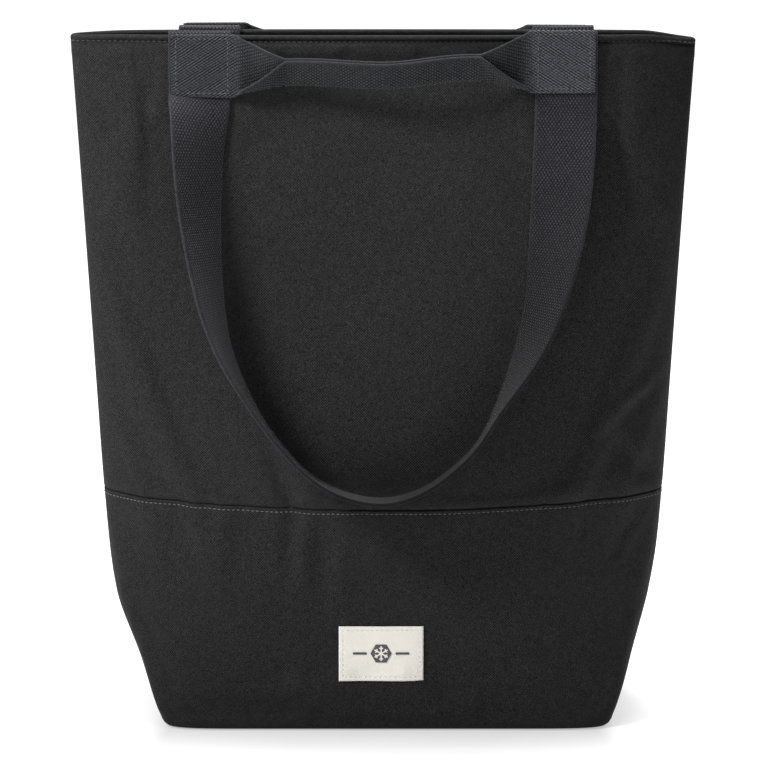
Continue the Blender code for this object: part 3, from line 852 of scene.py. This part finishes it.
def make_topstitching(shell, word, seam_thread, rim_thread):
    """The rows of stitches beside the panel seam and under the rim."""
    _, lower = shell[word, "lower"]
    _, upper = shell[word, "upper"]
    columns = range(3, lower.shape[1] - 3)
    line, up = surface_path(lower, columns, lambda x: SEAM - STITCH_DROP + float(seam_rise(x, SEAM)))
    size = {"pitch": 0.0030, "length": 0.0022, "radius": 0.00034}
    row = stitch_row(f"seam_stitches_{word}", line, up, seam_thread, **size, seed=31)
    fasten(row, "thread", [f"seam_topstitch_{word}"])
    line, up = surface_path(upper, columns, lambda x: RIM_STITCH_Z + float(rim_droop(x, RIM_STITCH_Z)))
    size = {"pitch": 0.0034, "length": 0.0025, "radius": 0.00036}
    row = stitch_row(f"rim_stitches_{word}", line, up, rim_thread, **size, seed=33)
    fasten(row, "thread", [f"rim_topstitch_{word}"])


# -------- webbing


def web_section():
    """Rows of (across, rise, cloth) round the webbing's section, with a slightly fuller selvedge."""
    round_off = 0.0011
    flat = np.linspace(round_off, WEB_WIDTH - round_off, 15)
    bead = 1 + 0.16 * (bell(flat, 0.0022) + bell(WEB_WIDTH - flat, 0.0022))
    half = WEB / 2
    front = [(v, half * b, v) for v, b in zip(flat, bead)]
    back = [(v, -half * b, v) for v, b in zip(flat[::-1], bead[::-1])]
    turn = np.radians([60, 25, -25, -60])
    past, rise = round_off * (1 - np.cos(turn)), 1.12 * half * np.sin(turn)
    right = np.column_stack([WEB_WIDTH - past, rise, np.full(len(turn), WEB_WIDTH)])
    left = np.column_stack([past, -rise, np.zeros(len(turn))])
    return np.concatenate([front, right, back, left])


def catmull(rows, samples):
    """Even points on a smooth curve through rows of numbers, spaced by their first three."""
    rows = np.array(rows, float)
    rows = np.vstack([2 * rows[0] - rows[1], rows, 2 * rows[-1] - rows[-2]])
    t = np.linspace(0, 1, 24, endpoint=False)[:, None]
    fine = []
    for a, b, c, d in zip(rows, rows[1:], rows[2:], rows[3:]):
        bend, twist = 2 * a - 5 * b + 4 * c - d, 3 * b - a - 3 * c + d
        fine.append(0.5 * (2 * b + (c - a) * t + bend * t**2 + twist * t**3))
    fine = np.vstack(fine + [rows[-2:-1]])
    run = run_along(fine[:, :3])
    even = np.linspace(0, run[-1], samples)
    return np.column_stack([np.interp(even, run, column) for column in fine.T])


# Long strap: x and height of the edge that lies on the bag, and the webbing's twist out of the bag's face
STRAP_ROUTE = (
    (-0.0925, 0.3922, 3),
    (-0.0940, 0.382, 18),
    (-0.0976, 0.362, 36),
    (-0.0998, 0.340, 46),
    (-0.1008, 0.318, 54),
    (-0.1005, 0.293, 62),
    (-0.0985, 0.263, 72),
    (-0.0940, 0.238, 82),
    (-0.0820, 0.208, 92),
    (-0.0660, 0.183, 97),
    (-0.0450, 0.162, 99),
    (-0.0230, 0.151, 99),
    (0.0010, 0.1475, 99),
    (0.0230, 0.153, 99),
    (0.0420, 0.165, 98),
    (0.0600, 0.183, 96),
    (0.0720, 0.208, 88),
    (0.0820, 0.239, 70),
    (0.0880, 0.269, 54),
    (0.0900, 0.305, 34),
    (0.0910, 0.335, 19),
    (0.0922, 0.378, 3),
    (0.0925, 0.3922, 0),
)


def strap_end(x):
    """The strap's sewn end, from its foot up behind the patch, over the rim and tucked in."""
    inside = wall_out(x, HEIGHT, WALL) - 0.0004
    over = HEIGHT + 0.0004
    rows = [(wall_out(x, z) + 0.0004, z) for z in (0.4050, 0.4170, 0.4275)]
    rows += [(wall_out(x, HEIGHT) - 0.0006, over), (inside + 0.0016, over)]
    rows += [(inside + 0.0002, over - 0.0012), (inside - 0.0002, HEIGHT - 0.0045)]
    return [(x, -out, z, 0) for out, z in rows]


def strap_frames(skin, word):
    """The strap's inner edge as on the front, with the directions across and through the webbing."""
    rows = []
    for index, (x, z, twist) in enumerate(STRAP_ROUTE):
        from_end = min(index, len(STRAP_ROUTE) - 1 - index)
        lift = 0.0004 + 0.0008 * min(from_end / 3, 1.0)
        seen_x = x if word == "front" else -x
        rows.append((x, -(skin.out(word, seen_x, z) + lift), z, twist))
    samples = catmull(strap_end(-0.0925)[::-1] + rows + strap_end(0.0925), 300)
    edge, twist = samples[:, :3], samples[:, 3]
    along = np.gradient(edge, axis=0)
    along /= np.linalg.norm(along, axis=1, keepdims=True)
    across = np.empty_like(edge)
    for k, (x, _, z) in enumerate(edge):
        if z > 0.386:
            hand = math.copysign(1, x)
            slope = (wall_out(x + hand * WEB_WIDTH, z) - wall_out(x, z)) / WEB_WIDTH
            across[k] = (hand, -slope, 0)
            continue
        face = np.array((0.0, -1.0, 0.0))
        face -= along[k] * face.dot(along[k])
        face /= np.linalg.norm(face)
        angle = math.radians(twist[k])
        across[k] = np.cross(along[k], face) * math.cos(angle) + face * math.sin(angle)
    for _ in range(8):
        across[1:-1] = (across[:-2] + 2 * across[1:-1] + across[2:]) / 4
    across -= along * np.einsum("ij,ij->i", across, along)[:, None]
    across /= np.linalg.norm(across, axis=1, keepdims=True)
    return edge, across, np.cross(across, along)


def webbing_uv(run, shape):
    """Cloth coordinates of a webbing's rings: the distance along it and the place across it."""
    cloth = np.concatenate([shape[:, 2], shape[:1, 2]])
    return np.stack(np.broadcast_arrays(run[:, None], cloth[None, :]), axis=-1)


# The back webbing's x is scaled and shifted by these
BACK_FIT = (0.972, 0.002)


def fitted(x, side):
    """An x of the straps or handles, moved to where the back ones sit."""
    return x * BACK_FIT[0] + BACK_FIT[1] if side > 0 else x


def make_strap(word, side, skin, material):
    """One long strap. Its cloth runs from 0 to its length and from 0 to its width."""
    edge, across, normal = strap_frames(skin, word)
    turn = np.array((1, 1, 1)) if side < 0 else np.array((-1, -1, 1))
    edge, across, normal = edge * turn, across * turn, normal * turn
    edge[:, 0] = fitted(edge[:, 0], side)
    shape = web_section()
    rings = edge[:, None, :] + across[:, None, :] * shape[None, :, 0:1]
    rings = rings + normal[:, None, :] * (shape[None, :, 1:2] + WEB / 2)
    run = run_along(edge)
    obj = tube_object(f"long_strap_{word}", rings, webbing_uv(run, shape), material)
    start, end = ((0, side * 0.0275, z) for z in (PATCH_LOW, 0.3740))
    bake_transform(obj)
    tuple(start)
    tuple(end)
    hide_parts(f"strap_{word}", f"strap_anchor_{word}_left", f"strap_anchor_{word}_right")


# -------- grab handles

PATCH_IN, PATCH_OUT = 0.0910, 0.1290
PATCH_LOW, PATCH_HIGH = 0.3925, 0.4315
PATCH_MIDDLE = (PATCH_LOW + PATCH_HIGH) / 2
PATCH_LIFT = 0.0026
GRIP_X = 0.0587
GRIP_TOP_Z = 0.4184
GRIP_OUT = 0.0385
GRIP_BOW = 0.0080
GRIP_LEAN = 28.0
# How far each patch stands above the drawn height
PATCH_RISE = {
    ("front", "left"): 0.0,
    ("front", "right"): 0.0027,
    ("back", "left"): 0.0028,
    ("back", "right"): 0.0014,
}


def flat_ring(x, shape):
    """(outward, height) round the webbing where it lies flat on the wall as a patch."""
    z = PATCH_LOW + 0.0005 + shape[:, 0]
    base = wall_out(x, PATCH_MIDDLE) + PATCH_LIFT + WEB / 2
    tip = np.array([wall_out(x, min(row, HEIGHT)) for row in z]) - wall_out(x, PATCH_MIDDLE)
    return np.column_stack([base + tip + shape[:, 1], z])


def folded_ring(x, shape, t):
    """The same where the lower edge folds up over the front: t runs from 0 at the patch to 1 at the grip."""
    crease = WEB_WIDTH - (WEB_WIDTH / 2) * max(t, 0.001) ** 0.7
    leaf = math.radians(112 + 40 * t**1.3)
    patch_lean = math.atan((wall_out(PATCH_IN, 0.420) - wall_out(PATCH_IN, 0.404)) / 0.016)
    upright = mix(patch_lean, math.radians(GRIP_LEAN), smooth(t))
    reach = min(0.0026, 0.0004 + 0.5 * (WEB_WIDTH - crease))
    fine = np.linspace(0, WEB_WIDTH, 191)
    share = smooth((fine - (WEB_WIDTH - crease) + reach) / (2 * reach))
    heading = mix(-leaf, upright, share)
    step = fine[1] - fine[0]
    middle = (heading[1:] + heading[:-1]) / 2
    run_out = np.concatenate([[0], np.cumsum(np.sin(middle) * step)])
    run_z = np.concatenate([[0], np.cumsum(np.cos(middle) * step)])
    bow = GRIP_BOW * math.cos(math.pi / 2 * min(x / GRIP_X, 1.0))
    top_out = mix(flat_ring(PATCH_IN, shape[14:15])[0, 0], GRIP_OUT, smooth(t)) + bow
    top_z = mix(PATCH_HIGH - 0.0005, GRIP_TOP_Z, t) - 0.0007 * math.cos(x * 75) * smooth(t)
    out = np.interp(shape[:, 0], fine, run_out - run_out[-1]) + top_out
    z = np.interp(shape[:, 0], fine, run_z - run_z[-1]) + top_z
    head = np.interp(shape[:, 0], fine, heading)
    return np.column_stack([out + shape[:, 1] * np.cos(head), z - shape[:, 1] * np.sin(head)])


def handle_ring(x, shape, hand):
    """The webbing's ring at a distance from the middle: flat on the patch, folded double at the grip."""
    if x >= PATCH_IN:
        ring = flat_ring(x, shape)
    else:
        t = min((PATCH_IN - x) / (PATCH_IN - GRIP_X), 1.0)
        ring = mix(flat_ring(x, shape), folded_ring(x, shape, t), smooth(t / 0.16))
    return np.column_stack([np.full(len(ring), hand * x), ring])


def make_handle(word, side, material):
    """One grab handle in two halves that meet at its middle."""
    shape = web_section()
    patch = np.linspace(PATCH_OUT, PATCH_IN, 16)
    flare = np.linspace(PATCH_IN - 0.0006, GRIP_X, 44)
    grip = np.linspace(GRIP_X - 0.002, 0, 28)
    stations = np.concatenate([patch, flare, grip])
    for hand_word, hand in HANDS.items():
        rings = np.array([handle_ring(x, shape, hand) for x in stations])
        run = run_along(rings.mean(axis=1))
        rings[:, :, 1] *= side
        middle = rings[:1].mean(axis=1, keepdims=True)
        rings[:1] = middle + (rings[:1] - middle) * (1, 0.6, 0.97)
        rings[:, :, 0] = fitted(rings[:, :, 0], side)
        rings[:, :, 2] += PATCH_RISE[word, hand_word] * smooth(stations / GRIP_X)[:, None]
        obj = tube_object(f"grab_handle_{word}_{hand_word}", rings, webbing_uv(run, shape), material)
        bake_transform(obj)
        nodes = [f"handle_patch_{word}_{hand_word}"] + ([f"grip_{word}"] if hand > 0 else [])
        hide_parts(*nodes)


def make_box_stitches(word, side, thread):
    """The square of stitches that holds each patch."""
    margin = 0.0032
    square = square_path((PATCH_IN + margin, PATCH_LOW + margin), (PATCH_OUT - margin, PATCH_HIGH - margin))
    size = {"pitch": 0.0032, "length": 0.0024, "radius": 0.00036}
    for hand_word, hand in HANDS.items():
        rise = PATCH_RISE[word, hand_word]
        path = []
        for x, z in square:
            path.append((fitted(hand * x, side), side * (wall_out(x, z) + PATCH_LIFT + WEB), z + rise))
        ups = [(0.1 * hand, side, 0.13)] * len(path)
        obj = stitch_row(f"box_stitch_{word}_{hand_word}", path, ups, thread, **size, lift=-0.0002, seed=21)
        fasten(obj, "thread", [f"patch_stitch_{word}_{hand_word}"])


# -------- label

LABEL_SHIFT = -0.0012
LABEL_LIFT = 0.0011
PRINT_LIFT = 0.00162
PRINT_THICKNESS = 0.00014


def make_label(skin, cloth_material, ink, thread):
    """The sewn cloth label with its stitches and its printed motif."""
    low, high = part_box("label")
    width, tall, middle = high.x - low.x, high.z - low.z, (low.z + high.z) / 2
    margin = 0.0024

    def place(z, x):
        border = min(x + width / 2, width / 2 - x, z - low.z, high.z - z)
        puff = 0.00035 * smooth(border / 0.0012) - 0.00024 * bell(border - margin, 0.0008)
        return (x + LABEL_SHIFT, -(skin.out("front", x, z) + LABEL_LIFT + puff), z), (x, z)

    rows, columns = np.linspace(low.z, high.z, 40), np.linspace(-width / 2, width / 2, 60)
    label = placed_sheet("sewn_label", rows, columns, place, cloth_material, 0.0008, (0, -1, 0))
    fasten(label, "label_cloth", ["label"])
    corner = np.array((width / 2 - margin, tall / 2 - margin))
    path = []
    for x, z in square_path((0, middle) - corner, (0, middle) + corner):
        path.append((x + LABEL_SHIFT, -(skin.out("front", x, z) + LABEL_LIFT + 0.0002), z))
    ups = [(0, -1, 0.05)] * len(path)
    size = {"pitch": 0.0031, "length": 0.0021, "radius": 0.00028}
    row = stitch_row("label_stitches", path, ups, thread, **size, lift=-0.0001, seed=8)
    fasten(row, "label_cloth")
    make_motif(skin, middle, ink, cloth_material)


def flat_shape(name, outline, place, lift, thickness, material):
    """A thin printed shape that follows the label, from an outline of (x, height) pairs about its middle."""
    skin, z_middle = place
    corners = np.array(outline)
    ends = np.roll(corners, -1, axis=0)
    steps = np.linspace(0, 1, 6, endpoint=False)[:, None]
    fine = np.concatenate([mix(a, b, steps) for a, b in zip(corners, ends)])
    count, middle = len(fine), fine.mean(axis=0)
    vertices = []
    for extra in (thickness, 0.0):
        for share in (1.0, 0.66, 0.33, 0.03):
            for x, z in mix(middle, fine, share):
                out = skin.out("front", x, z_middle + z) + lift + extra
                vertices.append((x + LABEL_SHIFT, -out, z_middle + z))
    layer = 4 * count
    faces = []
    for start, turn in ((0, 1), (layer, -1)):
        faces += [tuple(start + f)[::turn] for f in grid_faces(4, count, wrap=True)]
        faces.append(tuple(range(start + 3 * count, start + 4 * count))[::turn])
    faces += [(k, layer + k, layer + (k + 1) % count, (k + 1) % count) for k in range(count)]
    obj = new_object(name, vertices, faces, None, material)
    set_outward(obj)
    obj.data.set_sharp_from_angle(angle=math.radians(40))
    return obj


def bar(start, end, half_width):
    """Corner points of a straight bar between two points."""
    (x0, z0), (x1, z1) = start, end
    length = math.hypot(x1 - x0, z1 - z0)
    nx, nz = -(z1 - z0) / length * half_width, (x1 - x0) / length * half_width
    return [(x0 + nx, z0 + nz), (x1 + nx, z1 + nz), (x1 - nx, z1 - nz), (x0 - nx, z0 - nz)]


def around(radius, degrees):
    """The (x, height) at a distance and a direction from the motif's middle."""
    return np.array((radius * math.cos(math.radians(degrees)), radius * math.sin(math.radians(degrees))))


def make_motif(skin, z_middle, ink, pale):
    """A generic frost motif: a dark hexagon with a pale six-armed star, between two plain bars."""
    place = (skin, z_middle)
    hexagon = [around(0.0066, 60 * k) for k in range(6)]
    badge = flat_shape("label_badge", hexagon, place, PRINT_LIFT, PRINT_THICKNESS, ink)
    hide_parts("label_emblem")
    printed, pale_shapes = [badge], []
    for word, hand in HANDS.items():
        line = bar((hand * 0.0090, 0), (hand * 0.0175, 0), 0.0007)
        printed.append(flat_shape(f"label_bar_{word}", line, place, PRINT_LIFT, PRINT_THICKNESS, ink))
    star_lift = PRINT_LIFT + 0.0001
    for k in range(6):
        angle = 60 * k + 30
        arm = bar((0, 0), around(0.0047, angle), 0.00042)
        pale_shapes.append(flat_shape(f"label_star_arm_{k}", arm, place, star_lift, 0.0001 + k * 1e-6, pale))
        root = around(0.0027, angle)
        for word, turn in (("low", -50), ("high", 50)):
            twig = bar(root, root + around(0.0016, angle + turn), 0.00032)
            name = f"label_star_twig_{k}_{word}"
            pale_shapes.append(flat_shape(name, twig, place, star_lift, 0.00012, pale))
    for slot, parts in (("emblem", printed), ("label_cloth", pale_shapes)):
        for part in parts:
            fasten(part, slot)


# -------- closure

TAPE_Z = 0.416
TAPE_SPANS = {"left": (-0.172, -0.104), "middle": (-0.104, 0.104), "right": (0.104, 0.172)}


def moving_place(side, x, share):
    """A place on the moving tape, from the coil outward."""
    y = mix(0.0026, min(0.0106, wall_out(x, TAPE_Z, WALL) - 0.0008), share)
    z = TAPE_Z + 0.0003 + 0.00015 * math.sin(x * 90 + share * 3) * share
    return (x, side * y, z), (x, y)


def facing_place(side, x, share):
    """A place on the sewn-down strip between the moving tape and the rim's lining."""
    wide = wall_out(x, TAPE_Z, WALL) - 0.0002
    y = mix(min(0.0114, wide - 0.0005), wide, share)
    return (x, side * y, TAPE_Z + 0.0009 + 0.0006 * share), (x, y)


def tape_strip(name, side, xs, count, place, tape, thickness):
    """A level strip of zip tape on count rows of points."""
    shares = np.linspace(0, 1, count)
    return placed_sheet(name, shares, xs, lambda t, x: place(side, x, t), tape, thickness, (0, 0, 1))


def zip_nodes(word, place):
    """Nodes that a strip and its teeth stand for. Each sewn-down end is given to the front's pieces."""
    if place == "middle":
        return [f"zip_tape_{word}"], [f"zip_coil_{word}"]
    if word == "front":
        return [f"zip_end_{place}"], [f"zip_stop_{place}"]
    return [], []


def make_zip(tape, coil, metal):
    """The tapes with their coil loops, and the facings. The middle lifts with its flap."""
    for word, side in SIDES.items():
        flap = f"zip_flap_{word}"
        for place, (x0, x1) in TAPE_SPANS.items():
            xs = np.linspace(x0, x1, max(int((x1 - x0) / 0.004), 8))
            name = f"zip_tape_{word}_{place}"
            strip = tape_strip(name, side, xs, 7, moving_place, tape, 0.0006)
            teeth = make_teeth(f"zip_teeth_{word}_{place}", side, x0, x1, coil)
            for obj, nodes, slot in zip((strip, teeth), zip_nodes(word, place), ("tape", "coil")):
                if place == "middle":
                    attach(obj, flap)
                else:
                    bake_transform(obj)
                if nodes:
                    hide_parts(*nodes)
        xs = np.linspace(-0.150, 0.150, 90)
        strip = tape_strip(f"zip_facing_{word}_tape", side, xs, 5, facing_place, tape, 0.0005)
        fasten(strip, "tape", [f"zip_facing_{word}"])
    for node in ("zip_slider", "zip_puller"):
        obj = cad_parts[node]
        obj.data.materials.clear()
        obj.data.materials.append(metal)


def make_teeth(name, side, x0, x1, material):
    """A row of coil loops along one tape's inner edge, each a small arch that hooks towards the other row."""
    pitch, wire, sides, steps = 0.0013, 0.00034, 6, 8
    vertices, faces = [], []
    count = int((x1 - x0) / pitch)
    for k in range(count):
        x = x0 + (k + 0.5) * (x1 - x0) / count
        faces += small_tube_faces(len(vertices), steps + 1, sides)
        for j in range(steps + 1):
            turn = math.pi * j / steps
            y = 0.0009 + 0.0020 * (1 - math.sin(turn))
            z = TAPE_Z + 0.0003 + 0.0007 * math.cos(turn)
            tilt = 0.00022 * math.cos(turn)
            for s in range(sides):
                level, out = wire * math.cos(math.tau * s / sides), wire * math.sin(math.tau * s / sides)
                place = (x + tilt + level, side * (y + out * math.cos(turn)), z + out * math.sin(turn))
                vertices.append(place)
    obj = new_object(name, vertices, faces, None, material)
    set_outward(obj)
    return obj


# -------- settling the padded walls

SLACK_LIMIT = 0.0018
LAST_FRAME = 24
CLOTH = {
    "quality": 6,
    "mass": 0.5,
    "tension_stiffness": 30,
    "compression_stiffness": 22,
    "shear_stiffness": 14,
    "bending_stiffness": 9,
    "air_damping": 4,
    "shrink_min": -0.018,
    "vertex_group_mass": "held",
    "pin_stiffness": 2.0,
    "use_pressure": True,
    "uniform_pressure_force": 0.35,
}


def hold(points):
    """How firmly each point of a wall is held: at its borders, the panel seam and behind the patches."""
    x, z = points[:, :, 0], points[:, :, 2]
    weights = np.where((np.abs(np.abs(x) - 0.11) < 0.021) & (z > 0.388), 0.9, 0.0)
    weights[int(np.argmin(np.abs(z[:, 0] - SEAM)))] = 0.35
    weights[[0, -1]] = 1.0
    weights[:, [0, -1]] = 1.0
    return weights


def settle_walls(word, side):
    """Lets a padded wall settle as cloth between its seams. Returns (row heights, outward rise on a grid)."""
    heights = np.linspace(0.004, HEIGHT - 0.006, 62)
    points, _ = ring_grid([(0.0, z) for z in heights], side, 14, 46)
    rows, columns = points.shape[:2]
    obj = new_object(f"settle_{word}", points.reshape(-1, 3), grid_faces(rows, columns))
    group = obj.vertex_groups.new(name="held")
    for number, weight in enumerate(hold(points).ravel()):
        if weight:
            group.add([number], float(weight), "REPLACE")
    cloth = obj.modifiers.new("cloth", "CLOTH")
    for key, value in CLOTH.items():
        setattr(cloth.settings, key, value)
    cloth.settings.effector_weights.gravity = 0.35
    cloth.collision_settings.use_collision = False
    scene = bpy.context.scene
    cloth.point_cache.frame_start, cloth.point_cache.frame_end = 1, LAST_FRAME
    scene.frame_start, scene.frame_end = 1, LAST_FRAME
    for number in range(1, LAST_FRAME + 1):
        scene.frame_set(number)
    graph = bpy.context.evaluated_depsgraph_get()
    settled = np.array([v.co for v in obj.evaluated_get(graph).data.vertices]).reshape(rows, columns, 3)
    scene.frame_set(1)
    rise = ((settled - points) * grid_normals(points)).sum(axis=2)
    bpy.data.objects.remove(obj, do_unlink=True)
    return heights, SLACK_LIMIT * np.tanh(rise / SLACK_LIMIT)


# -------- stage

CAMERA_PLACE = (0.0012, -2.0, 0.670)
CAMERA_TILT = 77.0
LENS = 152.92
FLOOR_SIZE = 14.0


def make_world():
    """Even white light from all round."""
    world = bpy.data.worlds.new("studio")
    world.use_nodes = True
    background = world.node_tree.nodes["Background"]
    background.inputs["Color"].default_value = (1, 1, 1, 1)
    background.inputs["Strength"].default_value = 0.25
    bpy.context.scene.world = world


def make_floor():
    """A pale floor that glows, with a painted shadow: its glow is dimmer round the bag's foot and brightens
    away from it.
    """
    n = Nodes("studio_floor")
    n.finish((0.35, 0.35, 0.35, 1), 0.9, specular=0.05)
    # Painted shadow: the floor's glow is lowest at the bag's foot and rises with distance, faster to the
    # sides.
    foot = (STATIONS[0, 1] - 0.006, STATIONS[0, 2], 0)
    past_foot = n.vector("SUBTRACT", n.vector("ABSOLUTE", n.object_place())[0], foot)[0]
    outside = n.vector("MAXIMUM", past_foot)[0]
    distance = n.vector("LENGTH", n.vector("MULTIPLY", outside, (3.5, 1, 1))[0])["Value"]
    n.shader.inputs["Emission Color"].default_value = (1, 1, 1, 1)
    glow_with_painted_shadow = n.math("ADD", n.ramp(distance, 0.42, 0.62, 0.0, 0.035), n.ramp(distance, 0.0, 0.38, 0.03, 0.20))
    n.wire(glow_with_painted_shadow, n.shader.inputs["Emission Strength"])
    corners = [(a * FLOOR_SIZE, b * FLOOR_SIZE, 0) for a, b in ((-1, -1), (1, -1), (1, 1), (-1, 1))]
    new_object("studio_floor", corners, [(0, 1, 2, 3)], None, n.material)


def make_camera():
    camera = bpy.data.cameras.new("camera")
    camera.lens = LENS
    camera.sensor_width = 36
    camera.clip_start, camera.clip_end = 0.05, 60
    holder = bpy.data.objects.new("camera", camera)
    bpy.context.collection.objects.link(holder)
    holder.location = CAMERA_PLACE
    holder.rotation_euler = (math.radians(CAMERA_TILT), 0, 0)
    bpy.context.scene.camera = holder
    bpy.context.scene.view_settings.view_transform = "Standard"


def add_area(name, place, target, size, power):
    lamp = bpy.data.lights.new(name, "AREA")
    lamp.shape = "DISK"
    lamp.size = size
    lamp.energy = power
    holder = bpy.data.objects.new(name, lamp)
    holder.location = place
    holder.rotation_euler = (Vector(target) - Vector(place)).to_track_quat("-Z", "Y").to_euler()
    bpy.context.collection.objects.link(holder)


def make_stage():
    """The floor, the camera, a key light from the upper left and soft lights overhead and behind."""
    make_world()
    make_floor()
    add_area("key", place=(-0.93, -0.60, 1.15), target=(0, 0, 0.28), size=0.34, power=21.5)
    add_area("overhead", place=(0, 0.35, 2.0), target=(0, 0.30, 0), size=1.0, power=46)
    add_area("back_key", place=(0.9, 1.2, 1.0), target=(0, 0, 0.25), size=0.6, power=5)
    make_camera()


# -------- assembly


def main():
    make_stage()
    fabric = shell_fabric()
    webbing = webbing_material("webbing_cotton", (0.0235, 0.0232, 0.0280))
    patch_webbing = webbing_material("patch_cotton", (0.040, 0.042, 0.048), twill=True)
    thread = thread_material("dark_thread", (0.075, 0.076, 0.080))
    rim_thread = thread_material("rim_thread", (0.080, 0.080, 0.083), 0.45)
    seam_thread = thread_material("seam_thread", (0.095, 0.095, 0.098), 0.85)
    cream_thread = thread_material("cream_thread", (0.66, 0.62, 0.53))
    tape = tape_material()
    slack = {word: settle_walls(word, side) for word, side in SIDES.items()}
    shell, skin = make_shell(fabric, slack)
    for word, side in SIDES.items():
        declare_panels(shell, word)
        make_topstitching(shell, word, seam_thread, rim_thread)
        make_strap(word, side, skin, webbing)
        make_handle(word, side, patch_webbing)
        make_box_stitches(word, side, thread)
    make_base(fabric)
    make_lining(lining_material())
    make_side_bindings(tape)
    ink = fuzzy_material("label_print", (0.075, 0.074, 0.082), 1500, 0.75, 1.35, 0.8, 0.00008, 0.25)
    make_label(skin, label_material(), ink, cream_thread)
    coil = fuzzy_material("zip_coil_nylon", (0.020, 0.020, 0.021), 900, 0.8, 1.2, 0.42, 0.00003, 0.5)
    make_zip(tape, coil, metal_material())


main()
